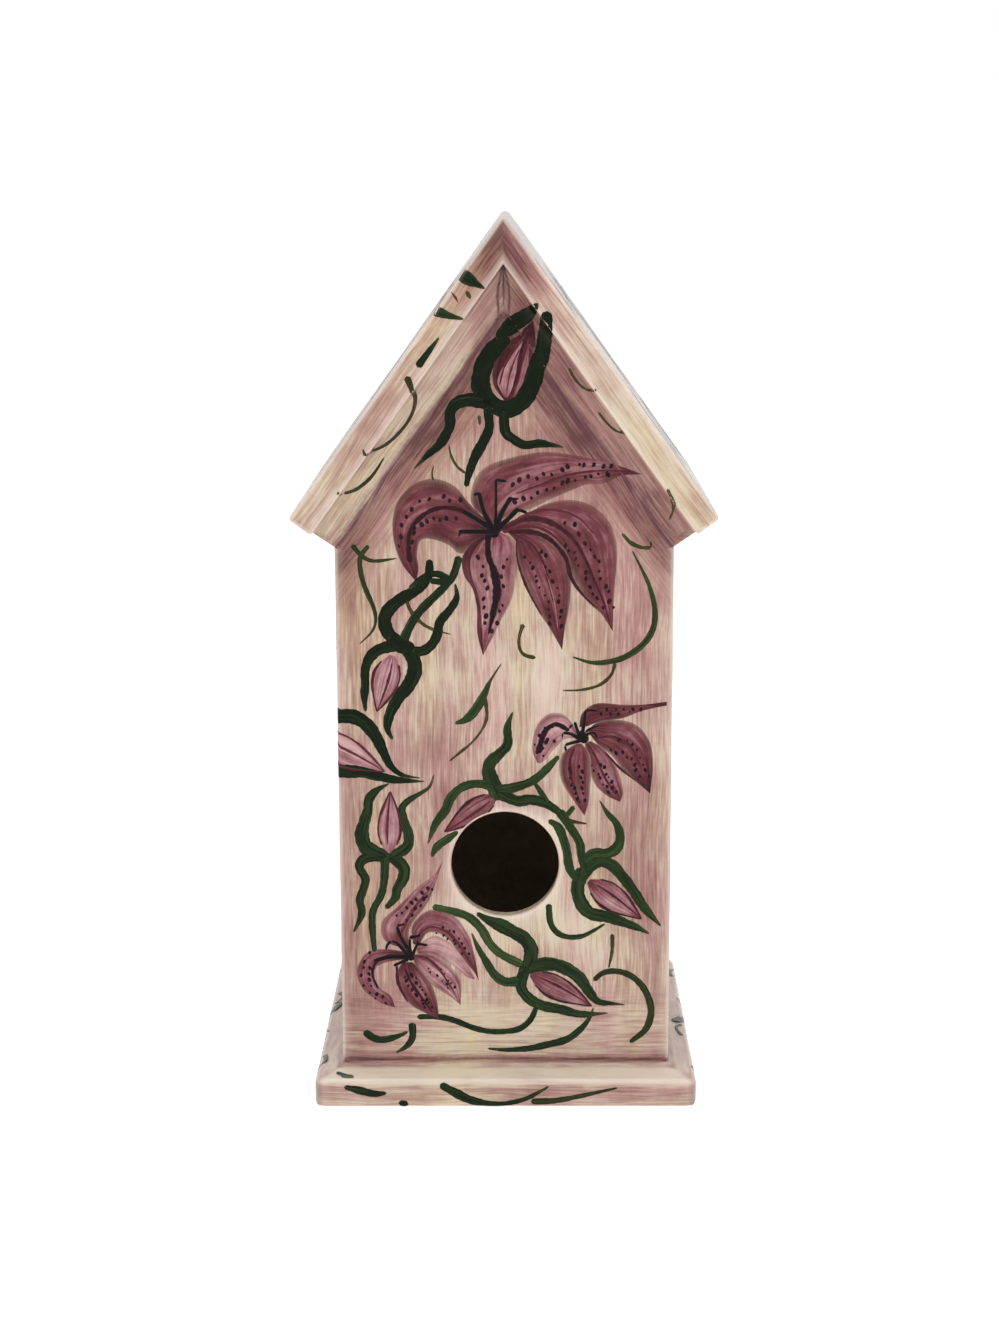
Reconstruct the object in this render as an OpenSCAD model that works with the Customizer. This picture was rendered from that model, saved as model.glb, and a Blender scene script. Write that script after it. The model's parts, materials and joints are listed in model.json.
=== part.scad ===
// Tall square ceramic birdhouse with a steep gabled roof, cove mouldings under the
// roof slabs, a moulded base and a rubber clean-out stopper.
// Frame: origin on the resting plane under the middle of the house, +Z up, entry hole facing -Y.

/* [Walls] */
// Outside width and depth of the square house
body_w = 117; // [112:1:122]
// Thickness of the clay walls
wall_t = 4.5; // [4:0.5:6]
// Rounding of the upright corners
corner_r = 1.5; // [1:0.5:3]

/* [Entry hole] */
// Diameter of the entry hole
hole_d = 38.1; // [28:0.1:42]
// Height of the hole's centre above the resting plane
hole_z = 87.2; // [75:0.1:110]
// Rounding of the hole's outer edge
hole_lip = 0.8; // [0.4:0.1:1.2]

/* [Roof] */
// Height of the rounded ridge above the resting plane
ridge_z = 312; // [300:1:330]
// Slope of the roof, in degrees
roof_pitch = 54.2; // [50:0.1:58]
// Width across the eaves, and depth from rake to rake
roof_w = 145; // [141:1:150]
// Thickness of a roof slab
slab_t = 9.5; // [8:0.5:11]
// Rounding of the roof's outer arrises
arris_r = 1.5; // [1:0.1:2]
// Rounding along the ridge
ridge_r = 2.1; // [1:0.1:3]

/* [Cove mouldings] */
// Height of a cove, measured square to the roof slope
cove_drop = 9; // [8:0.1:10.5]
// How far a cove stands out from the wall at its top
cove_out = 6.8; // [5:0.1:8]
// Depth of the hollow below a cove's chord
cove_sag = 1; // [0.5:0.1:2]

/* [Base] */
// Outside width and depth of the square base
base_w = 136; // [132:1:142]
// Height at which the base's vertical edge starts to round over
edge_z = 8.2; // [7:0.1:9]
// Rounding of the base's top edge
edge_r = 2.4; // [1.5:0.1:3]
// Slope of the base's top, in degrees
weathering = 16; // [10:1:20]
// Radius of the fillet between base and walls
foot_fillet = 2.5; // [1.5:0.1:3]
// Rounding of the base's bottom edge
heel_r = 1.5; // [1:0.1:2]
// Width of the square recess under the base
recess_w = 110; // [90:1:114]

/* [Clean-out] */
// Diameter of the clean-out hole in the floor
cleanout_d = 32; // [26:1:36]
// Radial play of the stopper in its hole
stopper_play = 0.05; // [0.02:0.01:0.1]
// Diameter of the stopper's flange
flange_d = 42; // [38:1:46]

/* [Hidden] */
$fn = 96;
clay = "#c8aaa6";
wiped_clay = "#d8c2b4";
pooled_clay = "#a5787f";
rubber = "#3b3836";

half = body_w / 2;
roof_half = roof_w / 2;
base_half = base_w / 2;
far = 400;                                        // longer than the whole house

// Roof lines: the sharp ridge above the rounded one, and the slab's length down the slope
apex_z = ridge_z + ridge_r * (1 / cos(roof_pitch) - 1);
slab_l = (roof_half - arris_r * (1 - sin(roof_pitch))) / cos(roof_pitch) + arris_r;

// Base: top of the clay floor, ceiling of the recess under it
floor_z = 12;
recess_z = 7;

// Stopper, from the bottom of its grip bar to its chamfered top
grip_z = 2.4;
flange_z = 4.7;
flange_top = recess_z - 0.3;
shank_top = floor_z + 1.6;
shank_chamfer = 1;
grip_w = 4;
grip_l = 26;

// Points of an arc, from angle a0 to a1
function arc(cx, cy, r, a0, a1, n = 8) =
    [for (i = [0:n]) let (a = a0 + (a1 - a0) * i / n) [cx + r * cos(a), cy + r * sin(a)]];

// Height of the plane that lies depth u below the roof's surface, at distance x from the middle
function roof_z(x, u = 0) = apex_z - x * tan(roof_pitch) - u / cos(roof_pitch);

// A point s down the slope and u below the surface, as [x, z]
function on_slope(s, u) = [s * cos(roof_pitch) - u * sin(roof_pitch),
                           apex_z - s * sin(roof_pitch) - u * cos(roof_pitch)];

// The cove's hollow curve, as [depth below the roof's surface, distance out from the wall]
cove_chord = norm([cove_drop, cove_out]);
cove_r = (pow(cove_chord / 2, 2) + cove_sag * cove_sag) / (2 * cove_sag);
cove_mid = [slab_t + cove_drop / 2, cove_out / 2];
cove_centre = cove_mid + [cove_out, cove_drop] / cove_chord * (cove_r - cove_sag);
cove_a0 = atan2(cove_out - cove_centre[1], slab_t - cove_centre[0]);
cove_a1 = atan2(-cove_centre[1], slab_t + cove_drop - cove_centre[0]);
cove_curve = arc(cove_centre[0], cove_centre[1], cove_r, cove_a0, cove_a1);
cove_profile = concat(cove_curve, [[slab_t, 0]]);

// Half of the base's section, as [x, z]: heel, edge, weathered top, fillet up the wall
edge_end_x = base_half - edge_r + edge_r * sin(weathering);
fillet_start_x = half + foot_fillet * (1 - sin(weathering));
fillet_z = edge_z + (edge_r + foot_fillet) * cos(weathering)
    + (edge_end_x - fillet_start_x) * tan(weathering);
base_profile = concat(
    [[0, 0]],
    arc(base_half - heel_r, heel_r, heel_r, -90, 0, 4),
    arc(base_half - edge_r, edge_z, edge_r, 0, 90 - weathering),
    arc(half + foot_fillet, fillet_z, foot_fillet, 270 - weathering, 180, 6),
    [[0, fillet_z]]);

// One roof slab's section, as [x, z]
ridge_turn = 90 - roof_pitch;
slab_section = concat(
    arc(0, ridge_z - ridge_r, ridge_r, 90, ridge_turn, 4),
    [for (p = arc(slab_l - arris_r, -arris_r, arris_r, 90, 0, 4)) on_slope(p[0], -p[1])],
    [for (p = arc(slab_l - arris_r, arris_r - slab_t, arris_r, 0, -90, 4)) on_slope(p[0], -p[1])],
    [[0, roof_z(0, slab_t)]]);

// Stand a flat [x, z] outline up and give it a depth along Y
module upright(y0, y1) {
    translate([0, y1, 0]) rotate([90, 0, 0]) linear_extrude(y1 - y0) children();
}

// Square plan of the house with rounded corners
module plan(w, r) {
    for (turn = [0, 90]) rotate(turn) square([w, w - 2 * r], center = true);
    for (sx = [-1, 1], sy = [-1, 1]) translate([sx, sy] * (w / 2 - r)) circle(r);
}

// Solid block of the house up to the underside of the roof slabs
module house_block() {
    intersection() {
        translate([0, 0, floor_z]) linear_extrude(ridge_z) plan(body_w, corner_r);
        upright(-half, half) polygon([[-half, 0], [half, 0], [half, roof_z(half, slab_t)],
            [0, roof_z(0, slab_t)], [-half, roof_z(half, slab_t)]]);
    }
}

// Gable wall on the -Y side
module gable_wall() {
    intersection() {
        house_block();
        translate([-half, -half, 0]) cube([body_w, wall_t, far]);
    }
}

module front_wall() color(clay) difference() {
    gable_wall();
    translate([0, -half - 1, hole_z]) rotate([-90, 0, 0]) cylinder(d = hole_d, h = wall_t + 2);
    translate([0, -half, hole_z]) rotate([-90, 0, 0]) rotate_extrude() difference() {
        translate([hole_d / 2 - 1, -1]) square([1 + hole_lip, 1 + hole_lip]);
        translate([hole_d / 2 + hole_lip, hole_lip]) circle(hole_lip);
    }
}

module back_wall() color(clay) mirror([0, 1, 0]) gable_wall();

// Side wall on the +X side, between the two gable walls
module side_wall() {
    intersection() {
        house_block();
        translate([half - wall_t, wall_t - half, 0]) cube([wall_t, body_w - 2 * wall_t, far]);
    }
}

module right_wall() color(clay) side_wall();

module left_wall() color(clay) mirror([1, 0, 0]) side_wall();

// Roof slab on the +X side: its section along Y, with rounded rake arrises
module roof_slab() {
    intersection() {
        upright(-roof_half, roof_half) polygon(slab_section);
        translate([0, 0, apex_z]) rotate([0, 90 + roof_pitch, 0]) translate([0, 0, -far / 4])
            linear_extrude(far) polygon(concat(
                arc(arris_r, arris_r - roof_half, arris_r, 180, 270, 4),
                [[2 * slab_t, -roof_half], [2 * slab_t, roof_half]],
                arc(arris_r, roof_half - arris_r, arris_r, 90, 180, 4)));
    }
}

module right_roof_slab() color(wiped_clay) roof_slab();

module left_roof_slab() color(wiped_clay) mirror([1, 0, 0]) roof_slab();

// Cove under the right slab's front rake, mitred at the ridge and at the eave
module rake_cove() {
    reach = 2 * cove_out;
    intersection() {
        translate([0, -half, apex_z]) rotate([0, 90 + roof_pitch, 0]) linear_extrude(slab_l)
            polygon([for (p = cove_profile) [p[0], -p[1]]]);
        linear_extrude(far) polygon([[0, -half], [half, -half],
            [half + reach, -half - reach], [0, -half - reach]]);
    }
}

module front_right_cove() color(pooled_clay) rake_cove();

module front_left_cove() color(pooled_clay) mirror([1, 0, 0]) rake_cove();

module back_right_cove() color(pooled_clay) mirror([0, 1, 0]) rake_cove();

module back_left_cove() color(pooled_clay) mirror([1, 0, 0]) mirror([0, 1, 0]) rake_cove();

// Cove under the right eave: the rake's profile sheared down the slope so that the mitres close
module eave_cove() {
    reach = 2 * cove_out;
    intersection() {
        upright(-half - reach, half + reach)
            polygon([for (p = cove_profile) [half + p[1], roof_z(half + p[1], p[0])]]);
        linear_extrude(far) polygon([[half, -half], [half, half],
            [half + reach, half + reach], [half + reach, -half - reach]]);
    }
}

module right_eave_cove() color(pooled_clay) eave_cove();

module left_eave_cove() color(pooled_clay) mirror([1, 0, 0]) eave_cove();

// Moulded base with a mitred edge, the floor of the house, a recess and the clean-out hole
module base_plinth() color(wiped_clay) difference() {
    intersection_for(turn = [0, 90]) rotate(turn) upright(-base_half, base_half)
        polygon(concat(base_profile, [for (i = [len(base_profile) - 1:-1:0])
            [-base_profile[i][0], base_profile[i][1]]]));
    translate([-half, -half, floor_z]) cube([body_w, body_w, far]);
    translate([-recess_w / 2, -recess_w / 2, -1]) cube([recess_w, recess_w, recess_z + 1]);
    cylinder(d = cleanout_d, h = far);
}

// Push-in stopper: grip bar, flange in the recess, shank in the floor's hole
module cleanout_stopper() color(rubber) {
    shank_r = cleanout_d / 2 - stopper_play;
    rotate_extrude() polygon([[0, flange_z], [flange_d / 2 - 0.6, flange_z],
        [flange_d / 2, flange_z + 0.6], [flange_d / 2, flange_top], [shank_r, flange_top],
        [shank_r, shank_top - shank_chamfer], [shank_r - shank_chamfer, shank_top], [0, shank_top]]);
    translate([-grip_l / 2, -grip_w / 2, grip_z]) cube([grip_l, grip_w, flange_z - grip_z + 1]);
}

base_plinth();
front_wall();
back_wall();
left_wall();
right_wall();
left_roof_slab();
right_roof_slab();
front_left_cove();
front_right_cove();
back_left_cove();
back_right_cove();
left_eave_cove();
right_eave_cove();
cleanout_stopper();
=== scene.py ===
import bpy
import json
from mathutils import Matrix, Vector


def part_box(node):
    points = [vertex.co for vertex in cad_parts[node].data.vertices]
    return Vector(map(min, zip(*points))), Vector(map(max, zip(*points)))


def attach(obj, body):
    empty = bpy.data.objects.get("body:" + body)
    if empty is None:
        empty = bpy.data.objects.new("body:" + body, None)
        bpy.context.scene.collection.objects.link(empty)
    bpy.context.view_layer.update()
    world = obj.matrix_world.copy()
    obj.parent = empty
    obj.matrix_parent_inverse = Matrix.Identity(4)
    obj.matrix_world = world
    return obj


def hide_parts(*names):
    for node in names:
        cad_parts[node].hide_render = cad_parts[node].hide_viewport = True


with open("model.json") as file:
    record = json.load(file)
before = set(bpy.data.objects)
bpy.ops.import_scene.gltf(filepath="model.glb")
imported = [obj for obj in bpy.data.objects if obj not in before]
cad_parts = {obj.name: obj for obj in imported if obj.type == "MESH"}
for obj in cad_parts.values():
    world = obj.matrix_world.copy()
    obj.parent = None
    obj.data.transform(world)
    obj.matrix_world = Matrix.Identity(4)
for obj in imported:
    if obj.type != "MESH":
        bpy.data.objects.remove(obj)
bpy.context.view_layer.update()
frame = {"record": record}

import copy
import json
import math
import bmesh
import bpy
import numpy as np
from mathutils import Matrix, Vector

# ---------------------------------------------------------------- sizes, in millimetres
MM = 0.001


def corners(node):
    """Lowest and highest corner of a CAD node, in millimetres."""
    low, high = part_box(node)
    return np.array(low) / MM, np.array(high) / MM


HOLE = next(m for m in frame["record"]["mounts"] if m["name"] == "entry_hole")
HOLE_Z = HOLE["pos_m"][2] / MM
HOLE_R = HOLE["dims"]["r_mm"]
HALF = corners("front_wall")[1][0]
WALL_T = corners("front_wall")[1][1] + HALF
FLOOR_Z = corners("front_wall")[0][2]
RIDGE_Z = corners("right_roof_slab")[1][2]
ROOF_HALF = corners("right_roof_slab")[1][1]
BASE_HALF = corners("base_plinth")[1][0]
FOOT_Z = corners("base_plinth")[1][2]

# the same driving sizes as the CAD
PITCH = math.radians(54.2)
SLAB_T = 9.5
ARRIS_R = 1.5
INNER_ARRIS_R = 0.7 * ARRIS_R
RIDGE_R = 2.1
COVE_DROP, COVE_OUT, COVE_SAG = 9.0, 6.8, 1.0
CORNER_R = 1.5
HOLE_LIP = 0.8
EDGE_Z, EDGE_R, WEATHERING = 8.2, 2.4, math.radians(16)
BASE_CORNER_R = 2.2
FOOT_R, HEEL_R = 2.5, 1.5
RECESS_HALF, RECESS_Z, RECESS_CORNER_R, CLEANOUT_R = 55.0, 7.0, 1.5, 16.0
FLANGE_Z, FLANGE_TOP = 4.7, RECESS_Z - 0.3
GRIP_LENGTH, GRIP_WIDTH = 26, 4

COS, SIN, TAN = math.cos(PITCH), math.sin(PITCH), math.tan(PITCH)
APEX_Z = RIDGE_Z + RIDGE_R * (1 / COS - 1)
SLAB_L = (ROOF_HALF - ARRIS_R * (1 - SIN)) / COS + ARRIS_R
SIDES = ((1, "right"), (-1, "left"))

# what the CAD leaves plain: the clay's unevenness and the ribs round the stopper's shank
WAVE = 0.12
RIBS, RIB_DEPTH = 4, 0.22

# how far paint is lifted over the roof's inner arris, and under it the soffit's run to the cove
ARRIS_LIFT, SOFFIT_RUN = 0.34, 0.8

# how finely the meshes are cut
GRID = 2.5
COLLAR = 12 * GRID
PLAIN_ROWS_TOP = HOLE_Z + COLLAR + 38 * GRID
GABLE_ROWS, SWEEP_PARTS, SIDE_PARTS, TURNED_PARTS, GRIP_PARTS = 30, 46, 44, 96, 64


def depth(x, z):
    """Depth below the roof's surface, square to the slope."""
    return (APEX_Z - np.abs(x) * TAN - z) * COS


def cove_out(u):
    """How far the cove stands out from the wall at depth u."""
    chord = math.hypot(COVE_DROP, COVE_OUT)
    radius = (chord * chord / 4 + COVE_SAG**2) / (2 * COVE_SAG)
    centre_u = SLAB_T + COVE_DROP / 2 + COVE_OUT / chord * (radius - COVE_SAG)
    centre_out = COVE_OUT / 2 + COVE_DROP / chord * (radius - COVE_SAG)
    inside = np.clip(u, SLAB_T, SLAB_T + COVE_DROP) - centre_u
    return centre_out - np.sqrt(radius**2 - inside**2)


def waviness(p):
    """Small hand-made unevenness of the clay, in millimetres, as a function of place."""
    x, y, z = p[..., 0], p[..., 1], p[..., 2]
    long_wave = np.sin(0.071 * x + 0.043 * z + 1.3) * np.cos(0.052 * y - 0.031 * z)
    mid_wave = np.sin(0.163 * z - 0.094 * x + 0.11 * y + 0.4)
    short_wave = np.sin(0.27 * x + 0.21 * z + 2.1) * np.sin(0.24 * y + 0.9)
    return WAVE * (0.5 * long_wave + 0.33 * mid_wave + 0.17 * short_wave)


# ---------------------------------------------------------------- where the stain and the painted light and shade lie
def hump(value, middle, width):
    """A soft band, 1 where value is at the middle."""
    return np.exp(-(((value - middle) / width) ** 2))


def blob(x, z, cx, cz, rx, rz):
    """A soft round patch, 1 in the middle."""
    return np.exp(-(((x - cx) / rx) ** 2 + ((z - cz) / rz) ** 2))


# how much stain lies where, 0 to 1; the gable, crease, foot, cove and fillet amounts are partly painted
# shade
WALL_STAIN, GABLE_STAIN_AND_SHADE, CREASE_STAIN_AND_SHADE, FOOT_STAIN_AND_SHADE = 0.44, 0.22, 0.36, 0.4
# the left rake is darker and the right rake paler partly as painted shade and painted light
LEFT_RAKE_STAIN_AND_SHADE, RIGHT_RAKE_STAIN_AND_LIGHT, APEX_STAIN, COVE_STAIN_AND_SHADE = 0.50, 0.3, 0.95, 0.52
LEDGE_STAIN, EDGE_STAIN, FILLET_STAIN_AND_SHADE, BESIDE_STAIN, MITRE_STAIN = 0.04, 0.4, 0.6, 0.46, 0.36

# more stain (+) or less (-) on every wall: strength, centre across and up, half width and half height; the
# first, pale patch is partly a painted highlight
PATCHES = (
    (-0.30, 10, 152, 20, 24), (-0.22, 6, 62, 34, 14), (-0.18, 2, 24, 40, 12), (0.24, -22, 112, 8, 34),
    (0.16, 48, 92, 12, 34), (0.14, -54, 80, 6, 90), (-0.2, 4, 240, 12, 16),
)


def wall_wash(x, y, z, front, u):
    """Stain on the walls, with more of it high in the gable and in the crease under the cove, there partly
    painted shade, and a pale patch that is partly a painted highlight.
    """
    across = np.where(front > 0.5, x, np.where(np.abs(x) > np.abs(y), y, -x))
    amount = WALL_STAIN
    for strength, *patch in PATCHES:
        amount = amount + strength * blob(across, z, *patch)
    # high in the gable, under the roof, and in the crease under the cove the stain is partly painted shade
    amount = amount + GABLE_STAIN_AND_SHADE * np.clip((z - 218) / 20, 0, 1)
    return amount + CREASE_STAIN_AND_SHADE * hump(u, 21, 8) * front


def roof_wash(x, z):
    """Stain on the fascia: heavier on the left rake and lighter on the right, partly as painted shade and
    painted light, and dark at the apex.
    """
    left = LEFT_RAKE_STAIN_AND_SHADE - 0.10 * blob(x, z, -60, 225, 20, 20)
    fascia = np.where(x < 0, left, RIGHT_RAKE_STAIN_AND_LIGHT)
    apex = np.minimum(1.3 * blob(x, z, 0, 306, 15, 24), 1)
    return fascia * (1 - apex) + APEX_STAIN * apex


def base_wash(x, y, z, out):
    """Stain on the base: in the mitres, at the foot of the walls, where it is partly painted shade, on the
    edge and at the sides.
    """
    on_edge = np.clip((EDGE_Z + 1.0 - z) / 1.5, 0, 1)
    beside = np.clip((np.abs(x) - np.abs(y) + 2) / 4, 0, 1)
    mitre = hump(np.abs(x) - np.abs(y), 0, 1.4)
    fillet = hump(out, 0.5, 0.9)
    level = LEDGE_STAIN + EDGE_STAIN * on_edge + FILLET_STAIN_AND_SHADE * fillet
    return level + BESIDE_STAIN * beside + MITRE_STAIN * mitre


def wash(p):
    """How much mauve stain covers the cream ground, 0 to 1, as a function of place; in the creases, under
    the roof and at the foot it is partly painted shade, and some paler places are partly painted light.
    """
    x, y, z = p[..., 0], p[..., 1], p[..., 2]
    front = np.clip((-y - HALF + 3) / 3, 0, 1)
    u = depth(x, z)
    amount = wall_wash(x, y, z, front, u)
    amount = np.where(u < SLAB_T + 0.5, roof_wash(x, z), amount)
    # the coves' stain is partly painted shade: most on the right cove and in the valley at the apex
    cove = COVE_STAIN_AND_SHADE + 0.16 * np.clip(x / 12, -1, 1) + 0.25 * blob(np.abs(x), z, 7, 276, 6, 16)
    in_cove = (u > SLAB_T + 0.5) & (u < SLAB_T + COVE_DROP) & (front > 0.5)
    amount = np.where(in_cove, cove, amount)
    out = np.maximum(np.abs(x), np.abs(y)) - HALF
    base = np.clip((out - 0.6) / 2, 0, 1) * (z < FOOT_Z + 0.5)
    # a darker band where the walls meet the base: pooled glaze and painted shade
    amount = amount + FOOT_STAIN_AND_SHADE * hump(z, FOOT_Z, 1.3)
    return np.clip(amount * (1 - base) + base * base_wash(x, y, z, out), 0, 1)


# ---------------------------------------------------------------- meshes
def quads(rows, cols, closed):
    """Faces of a grid of rows x cols points; closed joins the last column to the first."""
    r, c = np.meshgrid(np.arange(rows - 1), np.arange(cols if closed else cols - 1), indexing="ij")
    a = r * cols + c
    b = r * cols + (c + 1) % cols
    return np.stack([a, b, b + cols, a + cols], -1).reshape(-1, 4)


def cap(first, count):
    """Triangles that close a ring of count points, as a fan round its first point."""
    n = np.arange(1, count - 1)
    return np.stack([np.full_like(n, first), first + n, first + n + 1], -1)


def rim(rows, cols):
    """Faces that join the border of a grid to the border of a second grid, numbered after it."""
    last = rows * cols - 1
    edge = np.concatenate([
        np.arange(cols),
        np.arange(1, rows) * cols + cols - 1,
        last - np.arange(1, cols),
        (rows - 1 - np.arange(1, rows - 1)) * cols,
    ])
    after = np.roll(edge, -1)
    return np.stack([edge, after, after + last + 1, edge + last + 1], -1)


class Shape:
    """Collects parts of one mesh, with a number per point for each named attribute."""

    def __init__(self):
        self.points, self.faces, self.marks, self.count = [], [], {}, 0

    def add(self, points, faces, **marks):
        """Add points and the faces between them."""
        points = np.asarray(points, float).reshape(-1, 3)
        self.faces.append(np.asarray(faces) + self.count)
        self.points.append(points)
        for name, values in marks.items():
            values = np.broadcast_to(np.asarray(values, float).ravel(), (len(points),))
            self.marks.setdefault(name, []).append(values)
        self.count += len(points)

    def loft(self, rings, ends, **marks):
        """Add the skin through closed rings, [ring, point, xyz], and perhaps both end caps."""
        start, size = self.count, rings.shape[1]
        self.add(rings, quads(len(rings), size, True), **marks)
        if ends:
            self.faces.append(cap(start, size))
            self.faces.append(cap(start + (len(rings) - 1) * size, size))

    def ceramic(self, rings, ends=True, wipe=0.0):
        """Add a loft of glazed clay."""
        rings = np.asarray(rings, float)
        self.loft(rings, ends, wash=wash(rings), wipe=np.broadcast_to(wipe, rings.shape[:2]))

    def plate(self, outer, inner, faces, wipe):
        """Add a slab of glazed clay between two grids of points; faces are the outer grid's."""
        points = np.concatenate([outer.reshape(-1, 3), inner.reshape(-1, 3)])
        back = faces[:, ::-1] + len(points) // 2
        faces = np.concatenate([faces, back, rim(*outer.shape[:2])])
        self.add(points, faces, wash=wash(points), wipe=wipe)

    def mesh(self, name):
        """The finished mesh, in metres, with doubled points joined and sharp edges marked."""
        mesh = bpy.data.meshes.new(name)
        faces = [row.tolist() for block in self.faces for row in block]
        points = np.concatenate(self.points) * MM
        mesh.from_pydata(points.tolist(), [], faces)
        for mark, values in self.marks.items():
            layer = mesh.attributes.new(mark, "FLOAT", "POINT")
            layer.data.foreach_set("value", np.concatenate(values).astype(np.float32))
        work = bmesh.new()
        work.from_mesh(mesh)
        bmesh.ops.remove_doubles(work, verts=work.verts, dist=2e-7)
        bmesh.ops.dissolve_degenerate(work, edges=work.edges, dist=1e-7)
        bmesh.ops.recalc_face_normals(work, faces=work.faces)
        work.to_mesh(mesh)
        work.free()
        mesh.shade_smooth()
        mesh.set_sharp_from_angle(angle=math.radians(34))
        return mesh

    def build(self, name, material, body, slot, replaces=(), inside=None):
        """Make the piece that rides on body; inside is the material of the house's inner faces."""
        mesh = self.mesh(name)
        piece = bpy.data.objects.new(name, mesh)
        bpy.context.scene.collection.objects.link(piece)
        mesh.materials.append(material)
        if inside:
            mesh.materials.append(inside)
            reach = (HALF - WALL_T + 0.3) * MM
            for face in mesh.polygons:
                x, y, z = face.center
                within = max(abs(x), abs(y)) < reach and z > FLOOR_Z * MM - 1e-5
                face.material_index = int(within)
        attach(piece, body)
        if replaces:
            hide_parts(*replaces)


def spread(start, stop, step=GRID):
    """Even steps from start to stop."""
    return np.linspace(start, stop, max(2, int(round(abs(stop - start) / step)) + 1))


# ---------------------------------------------------------------- walls
# A place on the walls is (a, z): a runs round the square plan, 0 in the middle of the front,
# HALF at its right corner, on round the right side, and negative round the left side.
def plan(a, lift):
    """Point of the rounded square plan at a, moved out by lift."""
    a = np.asarray(a, float)
    side = 2 * HALF
    turn = np.floor((a + HALF) / side)
    along = a - turn * side
    inner = np.clip(along, -HALF + CORNER_R, HALF - CORNER_R)
    off = along - inner
    reach = (CORNER_R + lift) / np.hypot(off, CORNER_R)
    px, py = inner + off * reach, -(HALF - CORNER_R) - CORNER_R * reach
    angle = turn * math.pi / 2
    return px * np.cos(angle) - py * np.sin(angle), px * np.sin(angle) + py * np.cos(angle)


def gable_relief(u):
    """How far the fascia and the cove stand out from the wall at depth u, for paint on them,
    which is lifted a little over the roof's inner arris."""
    proud = ROOF_HALF - HALF
    for radius, inside in ((ARRIS_R, ARRIS_R - u), (INNER_ARRIS_R, u - SLAB_T + INNER_ARRIS_R)):
        inside = np.clip(inside, 0, radius)
        proud = proud - radius + np.sqrt(radius**2 - inside**2)
    soffit = np.clip((u - SLAB_T) / SOFFIT_RUN, 0, 1)
    bridge = (ROOF_HALF - HALF - INNER_ARRIS_R) * (1 - soffit) + cove_out(u) * soffit
    return np.where(u < SLAB_T, proud, bridge) + ARRIS_LIFT * hump(u, SLAB_T - 0.4, 0.8)


def walls(a, z, lift, gable=True):
    """Place on the walls, coves and fascia, with the waviness; lift is the height above it."""
    a, z = np.asarray(a, float), np.asarray(z, float)
    x, y = plan(a, 0)
    flat = np.stack([x, y, z + 0 * x], -1)
    u = depth(a, z)
    wave = np.where((u < SLAB_T) & gable, 0, waviness(flat))
    x, y = plan(a, lift + wave)
    on_gable = (u < SLAB_T + COVE_DROP) & (np.abs(a) < ROOF_HALF + 1) & gable
    x = np.where(on_gable, a, x)
    y = np.where(on_gable, -HALF - gable_relief(u) - lift - wave, y)
    over = on_gable & (u < 0)
    s = np.abs(a) * COS + (APEX_Z - z) * SIN
    back = on_slope(s, -np.asarray(lift), -ROOF_HALF + ARRIS_R - u, 1)
    x = np.where(over, back[..., 0] * np.sign(a), x)
    y = np.where(over, back[..., 1], y)
    return np.stack([x, y, np.where(over, back[..., 2], z + 0 * x)], -1)


def front_face(a, z, lift):
    """Place on the front for paint, which never hangs over the entry hole."""
    reach = np.maximum(np.hypot(a, z - HOLE_Z), 1e-6)
    out = np.where(np.abs(a) < HALF, np.maximum((HOLE_R + HOLE_LIP) / reach, 1), 1)
    return walls(a * out, HOLE_Z + (z - HOLE_Z) * out, lift)


def plain_walls(a, z, lift):
    """Place on the flat side and back walls."""
    return walls(a, z, lift, gable=False)


def gable_columns():
    """Column places of a gable wall, closer together at its rounded corners."""
    corner = CORNER_R * np.tan(np.linspace(0, math.pi / 4, 4))
    left = np.concatenate([[-HALF - WALL_T], -HALF - CORNER_R + corner, -HALF + CORNER_R - corner[::-1]])
    beside = spread(-HALF + CORNER_R, -COLLAR)[1:]
    middle = spread(-COLLAR, COLLAR)[1:-1]
    return np.concatenate([left, beside, middle, -beside[::-1], -left[::-1]])


FORWARD, BACKWARD = np.array([1, 1, 1]), np.array([-1, -1, 1])


def gable_wall(hole, facing):
    """Front or back wall: wavy outer skin, flat inner skin and the edges between them.
    facing turns the front wall's points to the wall that is made."""
    columns = gable_columns()
    rows = np.concatenate([
        spread(FLOOR_Z, HOLE_Z - COLLAR),
        spread(HOLE_Z - COLLAR, HOLE_Z + COLLAR)[1:-1],
        spread(HOLE_Z + COLLAR, PLAIN_ROWS_TOP),
    ])
    ceiling = APEX_Z - SLAB_T / COS - np.minimum(np.abs(columns), HALF) * TAN
    upper = rows[-1] + np.linspace(0, 1, GABLE_ROWS + 1)[1:, None] * (ceiling - rows[-1])
    z = np.concatenate([np.repeat(rows[:, None], len(columns), 1), upper])
    a = np.broadcast_to(columns, z.shape)
    x, y = plan(a, 0)
    x, y = plan(a, waviness(np.stack([x, y, z], -1) * facing))
    outer = np.stack([x, y, z], -1)
    inner = np.stack([np.clip(a, -HALF, HALF), np.full_like(z, -HALF + WALL_T), z], -1)
    faces = quads(*z.shape, False)
    if hole:
        centre = outer.reshape(-1, 3)[faces].mean(1)
        away = np.maximum(np.abs(centre[:, 0]), np.abs(centre[:, 2] - HOLE_Z))
        faces = faces[away > COLLAR]
    both = np.concatenate([outer.reshape(-1, 3), inner.reshape(-1, 3)])
    # paler down the rounded corners: thin glaze and a painted highlight
    corner = hump(np.abs(both[:, 0]) - np.abs(both[:, 1]), 0, 1.3)
    shape = Shape()
    shape.plate(outer * facing, inner * facing, faces, 0.8 * corner)
    if hole:
        hole_ring(shape)
    return shape


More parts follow.
